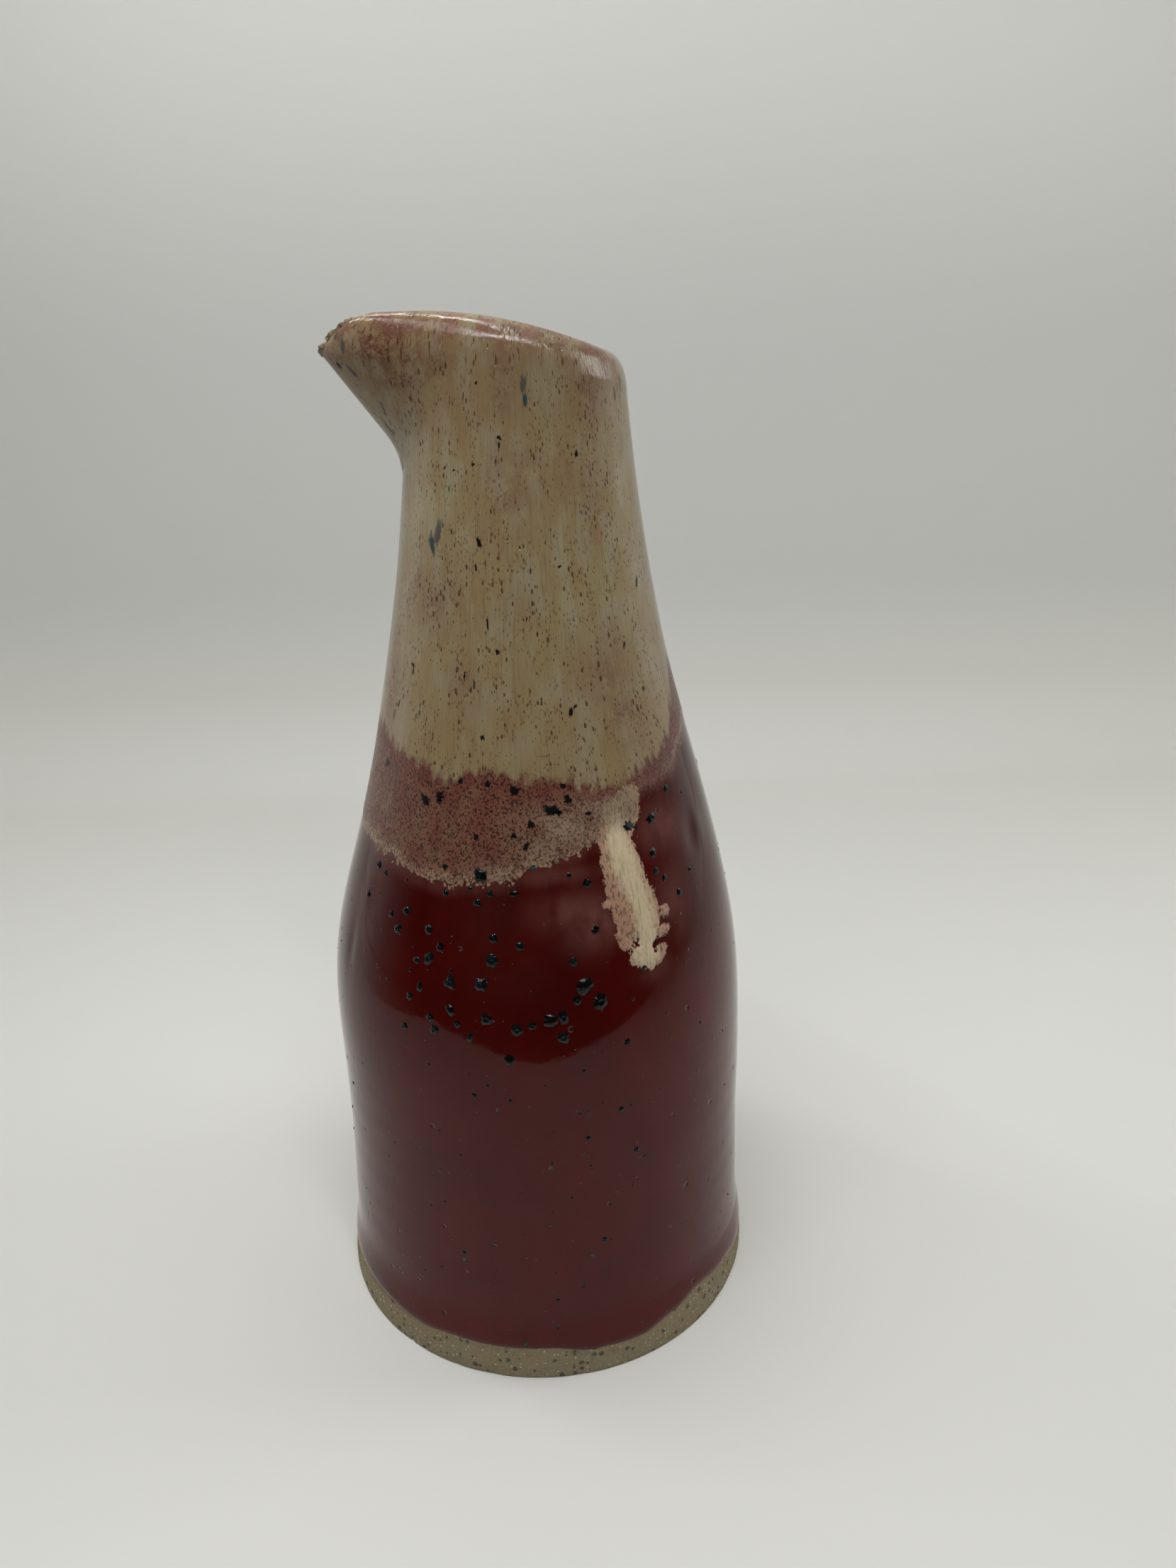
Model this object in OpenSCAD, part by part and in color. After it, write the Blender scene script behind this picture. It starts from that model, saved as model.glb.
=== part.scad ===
// Tall hand-built stoneware jug with a beak, in two overlapping glazes.
// Millimetres, +Z up, origin at the centre of the underside, beak towards -X.
// Angles round the jug start at the beak and run past the front (-Y).

/* [Foot] */
// Ledge of the base slab outside the wall
base_ledge = 2.2; // [1.5:0.1:6]
// Thickness of the base slab
base_t = 8; // [5:0.5:12]
// Rounding of the slab's edges
base_edge_r = 1.2; // [0.4:0.1:1.6]

/* [Body] */
// Outer radius of the straight part of the clay wall
body_r = 46.8; // [42:0.1:50]
// Widening of the wall where it stands on the slab
foot_flare = 1; // [0:0.1:3]
// Thickness of the clay wall
wall_t = 6; // [4:0.5:8]
// Height of the taper above the slab
taper_h = 32; // [10:1:50]
// Height of the straight part
straight_h = 32; // [10:1:60]
// Radius of the shoulder's arc
shoulder_arc_r = 115; // [80:1:150]
// Slope of the shoulder above its arc, from upright
shoulder_angle = 15.5; // [10:0.5:18]
// Height of the sloping part of the shoulder, up to the seam with the neck
slope_h = 27.3; // [24:0.1:36]

/* [Neck] */
// Height of the neck, from the shoulder seam to the mouth seam
neck_h = 60; // [40:1:70]
// Radius of the neck's hollow curve
neck_arc_r = 434; // [400:1:600]

/* [Mouth and beak] */
// Height of the rim's highest point above the mouth seam
rim_h = 31.6; // [28:0.1:40]
// Distance of the rim's highest point back from the beak's tip
rim_top_back = 12.9; // [10:0.1:26]
// Radius of the arc that the rim follows, seen from the side
rim_arc_r = 124; // [90:1:200]
// Height of the rounded edge of the rim
roll_h = 7; // [4:0.5:9]
// Height of the rounded edge at the beak's tip
tip_roll_h = 1.5; // [1:0.1:3]
// Reach of the beak's tip beyond the round of the neck
beak_l = 13.5; // [8:0.1:18]
// Height of the beak's tip above the mouth seam
beak_tip_h = 25; // [20:0.5:28]
// Slope of the beak's underside, from upright
beak_angle = 35.5; // [25:0.5:45]
// Width of the soft bend where the beak leaves the neck
beak_blend = 4; // [1:0.5:6]
// Wall thickness at the beak's tip
beak_wall_t = 3.5; // [2.5:0.5:6]
// Length of the beak's end that rounds down to the tip
nose_l = 9.5; // [4:0.5:14]
// Drop of the rim along that end
nose_drop = 5; // [1:0.1:8]

/* [Coils inside] */
// Radius of the coil pressed into the floor corner
floor_coil_r = 7; // [4:0.5:12]
// Thickness of the coil pressed over the shoulder seam
shoulder_coil_t = 2.5; // [1:0.5:4]
// Height of the coil pressed over the shoulder seam
shoulder_coil_h = 18; // [10:1:26]

/* [Glaze] */
// Thickness of a glaze coat
glaze_t = 0.6; // [0.4:0.1:1.2]
// Clearance between a coat and what it lies on or meets
glaze_seat = 0.2; // [0.2:0.05:0.4]
// Waviness of the red coat's lower edge
foot_wave = 1.6; // [0:0.1:4]
// Mean height of the cream coat's edge above the shoulder seam
cream_edge_h = 8; // [2:0.5:16]
// Waviness of the cream coat's edge
cream_wave = 10; // [0:0.5:12]
// Mean height of the band where the two coats overlap
overlap_h = 18; // [14:0.5:20]
// Depth of the teeth along the edges of the coats
tooth_h = 1.2; // [0:0.1:2]

/* [Run of glaze] */
// Place of the run, from the beak round past the front
drip_angle = 115; // [95:1:160]
// Lean of the run over its length, in degrees round the jug
drip_lean = 7; // [-10:1:10]
// Length of the run below the overlap band
drip_l = 27; // [10:1:36]
// Half width of the run
drip_half_w = 5.2; // [3:0.1:7]
// Thickness of the run
drip_t = 1.3; // [0.6:0.1:2]

/* [Hidden] */
$fn = 96;

CLAY = "#a39682";
RED = "#6a0f14";
PINK = "#b08f88";
CREAM = "#cfc5a6";

// Heights of the seams and bends
taper_top_z = base_t + taper_h;
shoulder_z = taper_top_z + straight_h;
shoulder_top_z = shoulder_z + shoulder_arc_r * sin(shoulder_angle);
neck_seam_z = shoulder_top_z + slope_h;
mouth_seam_z = neck_seam_z + neck_h;
rim_top_z = mouth_seam_z + rim_h;
beak_tip_z = mouth_seam_z + beak_tip_h;
cream_edge_z = neck_seam_z + cream_edge_h;

// Radii at the foot and the bends, and the centre of the neck's hollow curve
foot_r = body_r + foot_flare;
base_r = foot_r + base_ledge;
shoulder_top_r = body_r - shoulder_arc_r * (1 - cos(shoulder_angle));
neck_seam_r = shoulder_top_r - slope_h * tan(shoulder_angle);
neck_centre_r = neck_seam_r + neck_arc_r * cos(shoulder_angle);
neck_centre_z = neck_seam_z + neck_arc_r * sin(shoulder_angle);

// Places of the beak's tip and of the rim's highest point, from the axis
beak_reach = clay_r(mouth_seam_z) + beak_l;
rim_top_x = beak_reach - rim_top_back;

// Offsets of the two faces of a coat from the clay, and of a run that lies on a coat
coat_in = glaze_seat;
coat_out = glaze_seat + glaze_t;
drip_in = coat_out + glaze_seat;

// Counts of steps
arc_steps = 6;
coat_steps = 14;
band_steps = 4;
mouth_steps = 6;
roll_steps = 6;
columns = 64;
drip_rows = 14;
drip_columns = 6;

// Crowding of the columns at the beak, and softening of its edge, in degrees
crowding = 30;
tip_soft = 9;
// Spread of the thin wall and of the sharper edge each side of the beak's tip, in degrees
thin_spread = 40;
sharp_spread = 14;

// Power of the drop along the beak's end: the larger, the later it falls
nose_power = 3.5;

// Edges of the coats every 30 degrees from the beak, as shares of their named waviness or height
cream_edge_shares = [0.3, 0.24, 0, 0, -0.27, 0.1, 0.9, 0.7, 0.4, 0.2, 0.1, 0.2];
overlap_shares = [1.03, 1.07, 1.18, 0.93, 0.61, 0.44, 0.39, 0.56, 0.78, 0.94, 1.06, 1.06];
// Half width of the run from root to tip, its thickness at the edge, and its fullness along its length
drip_width_shares = [0.8, 0.82, 0.86, 0.92, 1, 1.1, 1.06, 0.5];
drip_edge_share = 0.25;
drip_full_shares = [0.7, 0.85, 1, 1, 0.95, 0.6, 0.2];

function clamp01(t) = min(1, max(0, t));
function smooth_step(t) = let (s = clamp01(t)) s * s * (3 - 2 * s);

// Larger of two lengths, with a soft bend of the given width where they cross
function soft_max(a, b, width) =
    let (h = max(0, 1 - abs(a - b) / width))
    max(a, b) + h * h * width / 4;

// Value of a closed table at an angle
function around(shares, phi) =
    let (
        count = len(shares),
        place = phi / 360 * count,
        i = floor(place),
        f = (1 - cos(180 * (place - i))) / 2
    )
    shares[i % count] * (1 - f) + shares[(i + 1) % count] * f;

// Value of an open table at a share of its length
function along(shares, t) =
    let (
        place = clamp01(t) * (len(shares) - 1),
        i = min(floor(place), len(shares) - 2)
    )
    shares[i] + (shares[i + 1] - shares[i]) * (place - i);

// Outer radius of the clay at a height
function clay_r(z) =
    z < taper_top_z ? foot_r + (body_r - foot_r) * (z - base_t) / taper_h :
    z < shoulder_z ? body_r :
    z < shoulder_top_z
        ? body_r - shoulder_arc_r + sqrt(pow(shoulder_arc_r, 2) - pow(z - shoulder_z, 2)) :
    z < neck_seam_z ? shoulder_top_r - (z - shoulder_top_z) * tan(shoulder_angle) :
    neck_centre_r - sqrt(pow(neck_arc_r, 2) - pow(z - neck_centre_z, 2));

// Reach of the wall below the beak at a height
function beak_r(z) =
    soft_max(clay_r(z), beak_reach - max(0, beak_tip_z - z) * tan(beak_angle), beak_blend);

// Angle from the beak, -180 to 180
function from_beak(phi) = phi > 180 ? phi - 360 : phi;

// Turn of the wall's normal away from the radius: the beak's cheeks are flat and tangent to the round neck
function cheek_turn(z, phi) =
    let (turn = acos(min(1, clay_r(z) / beak_r(z))) + tip_soft)
    max(0, turn - sqrt(pow(from_beak(phi), 2) + pow(tip_soft, 2)));

// Distance from the axis to a face that lies a depth inside the clay's outer face
function wall_r(z, phi, depth) = (clay_r(z) - depth) / cos(cheek_turn(z, phi));

function polar(r, phi, z) = [-r * cos(phi), -r * sin(phi), z];

// Nearness to the beak's tip: 1 at the tip, fading over a spread
function near_tip(phi, spread) = exp(-pow(from_beak(phi) / spread, 2));

// Thickness of the wall in the mouth: thinner towards the beak's tip
function mouth_wall(z, phi) =
    let (rise = smooth_step((z - mouth_seam_z) / beak_tip_h))
    wall_t + (beak_wall_t - wall_t) * near_tip(phi, thin_spread) * rise;

// Height of the rim's crest
function crest_z(phi) =
    let (
        x = wall_r(beak_tip_z, phi, 0) * cos(phi),
        sag = rim_arc_r - sqrt(pow(rim_arc_r, 2) - pow(x - rim_top_x, 2)),
        nose = clamp01((x - beak_reach + nose_l) / nose_l)
    )
    rim_top_z - sag - nose_drop * pow(nose, nose_power);

// Height of the rounded edge, and where it starts
function edge_h(phi) = roll_h + (tip_roll_h - roll_h) * near_tip(phi, sharp_spread);
function roll_z(phi) = crest_z(phi) - edge_h(phi);

// Points of the mouth's outer face, rounded edge and inner face, moved out of the clay by an offset
function outer_point(z, phi, offset) = polar(wall_r(z, phi, -offset), phi, z);
function inner_point(z, phi, offset) = polar(wall_r(z, phi, mouth_wall(z, phi) + offset), phi, z);
function roll_point(phi, theta, offset) =
    let (
        z = roll_z(phi),
        half = mouth_wall(z, phi) / 2,
        depth = half - (half + offset) * cos(theta)
    )
    polar(wall_r(z, phi, depth), phi, z + (edge_h(phi) + offset) * sin(theta));

// Columns round the jug, closer together at the beak
function column_angle(i) = 360 * i / columns - crowding * sin(360 * i / columns);
column_angles = [for (i = [0 : columns - 1]) column_angle(i)];

function ring_outer(z_at, offset) = [for (phi = column_angles) outer_point(z_at(phi), phi, offset)];

// Faces of a solid made of closed rings, where the last ring joins the first
function ring_faces(rings) = [
    for (k = [0 : rings - 1], i = [0 : columns - 1])
        let (
            a = k * columns + i,
            b = k * columns + (i + 1) % columns,
            c = ((k + 1) % rings) * columns + i,
            d = ((k + 1) % rings) * columns + (i + 1) % columns
        )
        each [[a, c, d], [a, d, b]]
];

module ring_solid(rings) {
    polyhedron(points = [for (ring = rings) each ring], faces = ring_faces(len(rings)));
}

// Coat on the outer face between two edges
module coat(low_z, high_z, steps) {
    function level(k) = function(phi) low_z(phi) + (high_z(phi) - low_z(phi)) * k / steps;
    ring_solid([
        for (k = [0 : steps]) ring_outer(level(k), coat_out),
        for (k = [steps : -1 : 0]) ring_outer(level(k), coat_in),
    ]);
}

// Edges of the coats
function teeth(phi) = tooth_h * (sin(7 * phi) + sin(11 * phi + 40)) / 2;
function foot_edge_z(phi) = base_t + glaze_seat + foot_wave * (1 + sin(3 * phi + 60)) / 2;
function cream_low_z(phi) = cream_edge_z + cream_wave * around(cream_edge_shares, phi) + teeth(phi);
function overlap_low_z(phi) = cream_edge_z - overlap_h * around(overlap_shares, phi) + teeth(phi + 25);

// Heights where the wall's outline bends or curves
body_levels = [
    base_t, taper_top_z, shoulder_z,
    for (k = [1 : arc_steps]) shoulder_z + (shoulder_top_z - shoulder_z) * k / arc_steps,
    neck_seam_z,
];
neck_levels = [for (k = [0 : arc_steps]) neck_seam_z + neck_h * k / arc_steps];

// Inside of the wall, with the coil pressed over the shoulder seam
function hollow_r(z) = clay_r(z) - wall_t;
function coil_bulge(z) =
    abs(z - neck_seam_z) > shoulder_coil_h / 2 ? 0
        : shoulder_coil_t * (1 + cos(360 * (z - neck_seam_z) / shoulder_coil_h)) / 2;
coil_levels = [
    for (k = [0 : 2 * arc_steps]) neck_seam_z + shoulder_coil_h * (k / (2 * arc_steps) - 0.5)
];

// Corner coil's hollow face, moved into the hollow by an offset
floor_coil_mid_r = hollow_r(base_t + floor_coil_r) - floor_coil_r;
function floor_coil_face(offset) = [
    for (k = [0 : arc_steps])
        let (turn = 90 * k / arc_steps)
        [
            floor_coil_mid_r + (floor_coil_r - offset) * sin(turn),
            base_t + floor_coil_r - (floor_coil_r - offset) * cos(turn),
        ]
];

// Outline of the hollow from the floor's middle up to the mouth seam, moved inwards by an offset
function hollow_outline(offset, top_z) = [
    [0, base_t + offset],
    each floor_coil_face(offset),
    for (z = [taper_top_z, shoulder_z]) [hollow_r(z) - offset, z],
    for (z = body_levels)
        if (z > shoulder_z && z < coil_levels[0]) [hollow_r(z) - offset, z],
    for (z = coil_levels) [hollow_r(z) - coil_bulge(z) - offset, z],
    for (z = neck_levels)
        if (z > coil_levels[2 * arc_steps] && z < top_z) [hollow_r(z) - offset, z],
    [hollow_r(top_z) - offset, top_z],
];

function reversed(points) = [for (i = [len(points) - 1 : -1 : 0]) points[i]];

// Wall of revolution between two seams
module wall(levels) {
    rotate_extrude()
        polygon([
            for (z = levels) [clay_r(z), z],
            for (z = reversed(levels)) [hollow_r(z), z],
        ]);
}

// Cut round slab with softened edges
module base_slab() {
    color(CLAY)
        rotate_extrude()
            union() {
                square([base_r - base_edge_r, base_t]);
                translate([0, base_edge_r]) square([base_r, base_t - 2 * base_edge_r]);
                for (z = [base_edge_r, base_t - base_edge_r])
                    translate([base_r - base_edge_r, z]) circle(r = base_edge_r);
            }
}

module floor_coil() {
    color(CLAY)
        rotate_extrude()
            polygon([
                each floor_coil_face(0),
                [hollow_r(base_t), base_t],
            ]);
}

module body_wall() {
    color(CLAY) wall(body_levels);
}

module shoulder_coil() {
    color(CLAY)
        rotate_extrude()
            polygon([
                for (z = coil_levels) [hollow_r(z) - coil_bulge(z), z],
                [hollow_r(neck_seam_z), neck_seam_z],
            ]);
}

module neck_wall() {
    color(CLAY) wall(neck_levels);
}

// Height of a level between the mouth seam and the rim's rounded edge
function mouth_level(k) = function(phi) mouth_seam_z + (roll_z(phi) - mouth_seam_z) * k / mouth_steps;

// Rings of the mouth: up its outer face, over the rim and down its inner face
function rings_inner(z_at, offset) = [for (phi = column_angles) inner_point(z_at(phi), phi, offset)];
function rings_roll(offset) = [
    for (k = [1 : roll_steps - 1])
        [for (phi = column_angles) roll_point(phi, 180 * k / roll_steps, offset)]
];

// Collar with the slanted rolled rim and the beak
module beaked_mouth() {
    color(CLAY)
        ring_solid([
            for (k = [0 : mouth_steps]) ring_outer(mouth_level(k), 0),
            each rings_roll(0),
            for (k = [mouth_steps : -1 : 0]) rings_inner(mouth_level(k), 0),
        ]);
}

module red_glaze() {
    color(RED)
        coat(
            function(phi) foot_edge_z(phi),
            function(phi) overlap_low_z(phi) - glaze_seat,
            coat_steps
        );
}

module overlap_glaze() {
    color(PINK)
        coat(
            function(phi) overlap_low_z(phi),
            function(phi) cream_low_z(phi) - glaze_seat,
            band_steps
        );
}

// Rings of one face of the cream coat: up the neck and mouth, over the rim and down inside the mouth
function cream_rings(offset) =
    let (neck_level = function(k) function(phi)
        cream_low_z(phi) + (mouth_seam_z - cream_low_z(phi)) * k / arc_steps)
    [
        for (k = [0 : arc_steps - 1]) ring_outer(neck_level(k), offset),
        for (k = [0 : mouth_steps]) ring_outer(mouth_level(k), offset),
        each rings_roll(offset),
        for (k = [mouth_steps : -1 : 1]) rings_inner(mouth_level(k), offset),
        rings_inner(function(phi) mouth_seam_z + glaze_seat, offset),
    ];

module cream_glaze() {
    color(CREAM)
        ring_solid([
            each cream_rings(coat_out),
            each reversed(cream_rings(coat_in)),
        ]);
}

// Point of the run: s from root to tip, t from -1 to 1 across it
function drip_point(s, t, height) =
    let (
        phi_root = drip_angle,
        z_root = overlap_low_z(phi_root) - tooth_h - glaze_seat,
        z = z_root - drip_l * s,
        half = drip_half_w * along(drip_width_shares, s),
        phi = phi_root + drip_lean * s + t * half / clay_r(z) * 180 / PI
    )
    outer_point(z, phi, drip_in + height);

// Thickness of the run: domed across, fuller towards the tip
function drip_height(s, t) =
    drip_t * (drip_edge_share + (1 - drip_edge_share) * (1 - t * t) * along(drip_full_shares, s));

drip_top = [
    for (i = [0 : drip_rows], j = [0 : drip_columns])
        let (s = i / drip_rows, t = 2 * j / drip_columns - 1)
        drip_point(s, t, drip_height(s, t))
];
drip_bottom = [
    for (i = [0 : drip_rows], j = [0 : drip_columns])
        drip_point(i / drip_rows, 2 * j / drip_columns - 1, 0)
];

// Faces of a sheet with a top and a bottom grid of points
function sheet_faces(rows, cols) =
    let (
        across = cols + 1,
        under = (rows + 1) * across,
        border = [
            for (j = [0 : cols]) j,
            for (i = [1 : rows]) i * across + cols,
            for (j = [cols - 1 : -1 : 0]) rows * across + j,
            for (i = [rows - 1 : -1 : 1]) i * across,
        ]
    )
    [
        for (i = [0 : rows - 1], j = [0 : cols - 1])
            let (a = i * across + j, b = a + 1, c = a + across, d = c + 1)
            each [[a, d, b], [a, c, d], [under + a, under + b, under + d], [under + a, under + d, under + c]],
        for (k = [0 : len(border) - 1])
            let (a = border[k], b = border[(k + 1) % len(border)])
            each [[a, b, under + b], [a, under + b, under + a]],
    ];

module cream_drip() {
    color(CREAM)
        polyhedron(
            points = concat(drip_top, drip_bottom),
            faces = sheet_faces(drip_rows, drip_columns)
        );
}

module liner_glaze() {
    color(CREAM)
        rotate_extrude()
            polygon([
                each hollow_outline(coat_in, mouth_seam_z - glaze_seat),
                each reversed(hollow_outline(coat_out, mouth_seam_z - glaze_seat)),
            ]);
}

base_slab();
floor_coil();
body_wall();
shoulder_coil();
neck_wall();
beaked_mouth();
red_glaze();
overlap_glaze();
cream_glaze();
cream_drip();
liner_glaze();
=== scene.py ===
import math

import bpy
import numpy as np
from mathutils import Matrix, Vector


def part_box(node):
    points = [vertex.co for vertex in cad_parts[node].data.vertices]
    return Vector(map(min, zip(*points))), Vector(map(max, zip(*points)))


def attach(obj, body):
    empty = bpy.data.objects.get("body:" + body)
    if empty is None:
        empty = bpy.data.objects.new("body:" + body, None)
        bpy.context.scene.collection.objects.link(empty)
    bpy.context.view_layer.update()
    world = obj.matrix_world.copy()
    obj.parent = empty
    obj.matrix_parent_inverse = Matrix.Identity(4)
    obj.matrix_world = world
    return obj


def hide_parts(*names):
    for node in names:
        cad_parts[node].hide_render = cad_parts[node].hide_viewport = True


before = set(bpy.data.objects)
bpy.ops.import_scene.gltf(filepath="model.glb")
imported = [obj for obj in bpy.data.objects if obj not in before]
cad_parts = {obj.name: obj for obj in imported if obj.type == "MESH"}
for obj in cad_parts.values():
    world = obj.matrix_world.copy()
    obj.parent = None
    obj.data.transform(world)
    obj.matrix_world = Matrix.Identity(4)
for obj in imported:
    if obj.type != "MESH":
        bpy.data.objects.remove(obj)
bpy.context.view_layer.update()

# Lengths are millimetres and angles are degrees from the beak (-X) past the front (-Y).
# Meshes are built in millimetres and put into the frame in metres.
MM = 0.001


def node_box(node):
    low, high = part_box(node)
    return np.array(low) / MM, np.array(high) / MM


# Sizes of the clay, read from the frame
base_r = node_box("base_slab")[1][0]
base_t = node_box("base_slab")[1][2]
foot_r = node_box("body_wall")[1][0]
neck_seam_z = node_box("body_wall")[1][2]
mouth_seam_z = node_box("neck_wall")[1][2]
rim_top_z = node_box("beaked_mouth")[1][2]
beak_reach = -node_box("beaked_mouth")[0][0]
coat_top_z = node_box("cream_glaze")[1][2]

# Sizes of the clay that the boxes don't give
foot_flare = 1.0
wall_t = 6.0
taper_h = 32.0
straight_h = 32.0
shoulder_arc_r = 115.0
shoulder_slope = math.radians(15.5)
neck_arc_r = 434.0
rim_top_back = 12.9
rim_arc_r = 124.0
roll_h = 7.0
tip_roll_h = 1.5
beak_tip_h = 25.0
beak_slope = math.radians(35.5)
beak_blend = 4.0
beak_wall_t = 3.5
nose_l = 9.5
nose_drop = 5.0
nose_power = 3.5
tip_soft = 9.0
thin_spread = 40.0
sharp_spread = 14.0
coat_in = 0.2
coat_out = 0.8
# Half the height over which a bend of the outline is softened, and the number of heights that are averaged
soft_bend = 7.0
soft_bend_steps = 9
# Spread of the clay where the wall is pressed onto the slab, and the heights where it starts and is full
foot_spread = 1.2
foot_spread_top_z = 17.0
foot_spread_low_z = 5.0

body_r = foot_r - foot_flare
taper_top_z = base_t + taper_h
shoulder_z = taper_top_z + straight_h
shoulder_top_z = shoulder_z + shoulder_arc_r * math.sin(shoulder_slope)
shoulder_top_r = body_r - shoulder_arc_r * (1 - math.cos(shoulder_slope))
neck_seam_r = shoulder_top_r - (neck_seam_z - shoulder_top_z) * math.tan(shoulder_slope)
neck_centre_r = neck_seam_r + neck_arc_r * math.cos(shoulder_slope)
neck_centre_z = neck_seam_z + neck_arc_r * math.sin(shoulder_slope)
beak_tip_z = mouth_seam_z + beak_tip_h
rim_top_x = beak_reach - rim_top_back

# Edges of the coats: angle and height of each bend
cream_line_points = [
    (0, 142.5), (18, 143.5), (27, 141.5), (40, 140.2), (51, 138.6), (58, 137.2), (74, 139.5), (87, 138.2),
    (98, 137.8), (108, 136.0), (118, 135.0), (126, 137.0), (138, 138.6), (148, 141.5), (157, 147.0),
    (166, 153.0), (178, 155.0), (200, 148.0), (240, 142.0), (285, 140.0), (330, 140.5),
]
pink_line_points = [
    (0, 119.5), (19, 119.3), (35, 118.7), (53, 117.2), (62, 116.8), (72, 117.8), (81, 118.4), (89, 121.2),
    (98, 122.7), (108, 124.8), (120, 130.0), (130, 133.5), (142, 134.0), (155, 138.0), (170, 141.0),
    (190, 136.0), (210, 128.5), (240, 124.0), (285, 120.5), (330, 119.0),
]
foot_line_points = [
    (0, 7.0), (35, 7.4), (52, 7.1), (63, 8.0), (89, 8.1), (101, 6.5), (114, 6.2), (124, 8.0), (134, 9.6),
    (148, 7.8), (160, 5.4), (190, 6.8), (230, 7.6), (270, 6.6), (315, 7.9),
]

# Run of cream, placed by pixels of the photograph: pixel and half width from its root to its tip
run_spine = [
    (888, 1122, 2.4), (884, 1136, 3.3), (878, 1150, 3.8), (871, 1164, 3.7), (867, 1184, 3.5),
    (870, 1200, 3.7), (876, 1218, 4.3), (882, 1239, 4.6), (888, 1261, 4.9), (896, 1280, 5.2),
    (902, 1294, 5.0), (905, 1306, 4.6), (906, 1320, 3.5), (908, 1335, 2.3), (911, 1350, 2.4),
]
# Curls at its end, the bays between them, and its pale middle
run_curls = [
    (884, 1330, 1.6), (877, 1320, 1.4), (938, 1309, 1.3), (931, 1314, 1.3), (931, 1345, 1.4),
    (935, 1337, 1.0), (896, 1352, 1.6), (907, 1356, 1.5), (918, 1357, 1.6), (926, 1352, 1.4),
    (937, 1284, 1.2), (858, 1276, 1.2),
]
run_bays = [(896, 1330, 0.8), (926, 1331, 1.0), (938, 1297, 0.7), (867, 1311, 0.6)]
run_middle = [
    (872, 1168, 1.8), (871, 1184, 2.5), (878, 1214, 2.9), (891, 1243, 2.6), (902, 1270, 2.2),
    (909, 1296, 2.4), (912, 1323, 2.8), (912, 1347, 3.0),
]
run_top_z = 131.0
run_low_z = 95.0
run_half_w = 8.0
run_full_t = 0.42
run_sink = 0.25
# Frill of its edge and streaks along it, each noise as height, size and seed
run_frill = [(0.45, 1.2, 21), (0.25, 0.6, 22)]
run_streak = [(0.06, 0.9, 23)]
run_streak_stretch = 0.12
# Rounding of its edge, slope outside it, and the height over which it rises out of the coat
run_round = 1.1
run_edge_slope = 0.5
run_root_h = 12.0

# Drift of the hand-built axis towards +X: height and drift
axis_drift = [(0, 0.0), (50, 0.1), (85, -0.4), (125, 0.45), (160, -0.3), (200, -0.55), (225, -0.55)]
# Unevenness of the hand-built wall: its swells and dimples as noises, and its throwing rings, which wander
hand_swell = [(0.08, 34.0, 3), (0.045, 11.0, 4)]
ring_h = 0.012
ring_pitch = 7.5
ring_wander = [(2.0, 26.0, 5)]
ring_top_z = 78.0
ring_fade_h = 20.0
# Step up onto the overlap band, and the foot of the wall, where the unevenness starts and is full
band_t = 0.14
band_step_h = 1.5
even_foot_z = 4.0
even_foot_h = 10.0
# The glaze thins out at its lower edge: by how much, and over what height
thin_edge_t = 0.35
thin_edge_h = 0.6
# The relief is calmer on the neck: by what share, and over what height above the edge of the cream
neck_calm = 0.25
neck_calm_h = 12.0
# The lip starts below the rounded edge of the rim, ends at a depth inside the mouth and fades out there
lip_start = 3.0
lip_inside_h = 22.0
lip_fade_h = 12.0
# Dents and swellings: angle, height, half width, half height, depth outwards
dents = [
    (96, 114.5, 7.0, 2.6, -0.38), (133, 129.0, 8.0, 3.0, -0.30), (152, 121.0, 2.2, 4.5, 0.30),
    (147, 119.0, 2.6, 4.0, -0.32), (30, 108.0, 2.0, 5.0, 0.20), (26, 96.0, 2.0, 6.0, -0.22),
    (118, 176.0, 6.0, 9.0, -0.25), (60, 150.0, 9.0, 10.0, 0.15), (215, 100.0, 9.0, 6.0, -0.25),
    (260, 62.0, 12.0, 7.0, -0.22), (300, 150.0, 7.0, 11.0, -0.22), (200, 172.0, 8.0, 9.0, 0.18),
]

# Raw clay at the end of the beak: half angle of the patch, its length along the rim, its half width and
# how far it goes down each face
torn_half_angle = 30.0
torn_l = 12.5
torn_half_w = 1.0
torn_drop = 5.0
# Its ridge: the share of the way over the rim where it lies at the tip, how fast that climbs with the angle
# up to the middle of the rim, its height, its width and the length over which it runs out
torn_share = 0.14
torn_climb = 0.021
torn_middle = 0.5
torn_ridge = 0.5
torn_ridge_w = 1.5
torn_ridge_end = 3.5
# The patch and the nub at the tip: place on the way over the rim, radius, height and width
torn_tip_share = 0.12
torn_tip_r = 1.6
torn_nub = 0.05
torn_nub_w = 1.5
# Nicks on both sides of the nub: angle, place on the way over the rim, depth and radius
torn_nick_angle = 4.0
torn_nick_share = 0.18
torn_nick = 1.0
torn_nick_r = 0.6
# Roughness of the bare patch, and its ragged outline: noises, reach to the sides and along the rim, softness
torn_rough = [(0.26, 1.3, 33), (0.2, 0.55, 34)]
torn_outline = [(0.7, 1.8, 31), (0.4, 0.7, 32)]
torn_ragged = 0.5
torn_ragged_end = 1.5
torn_soft = 0.7
torn_soft_end = 1.5
# The patch stands out of the coat, lies under it beyond its outline, and has its back deeper still
torn_proud = 0.6
torn_sink = 0.5
torn_back = 1.0

# Base slab: rounding of its lower edge, height to which it is smeared up the wall, how far it stands out
# there and more at its foot, the height where that ends and the height over which it grows
slab_edge_r = 0.45
slab_smear_z = 11.5
slab_proud = 0.3
slab_foot_proud = 0.5
slab_foot_z = 7.0
slab_foot_h = 6.0
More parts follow.
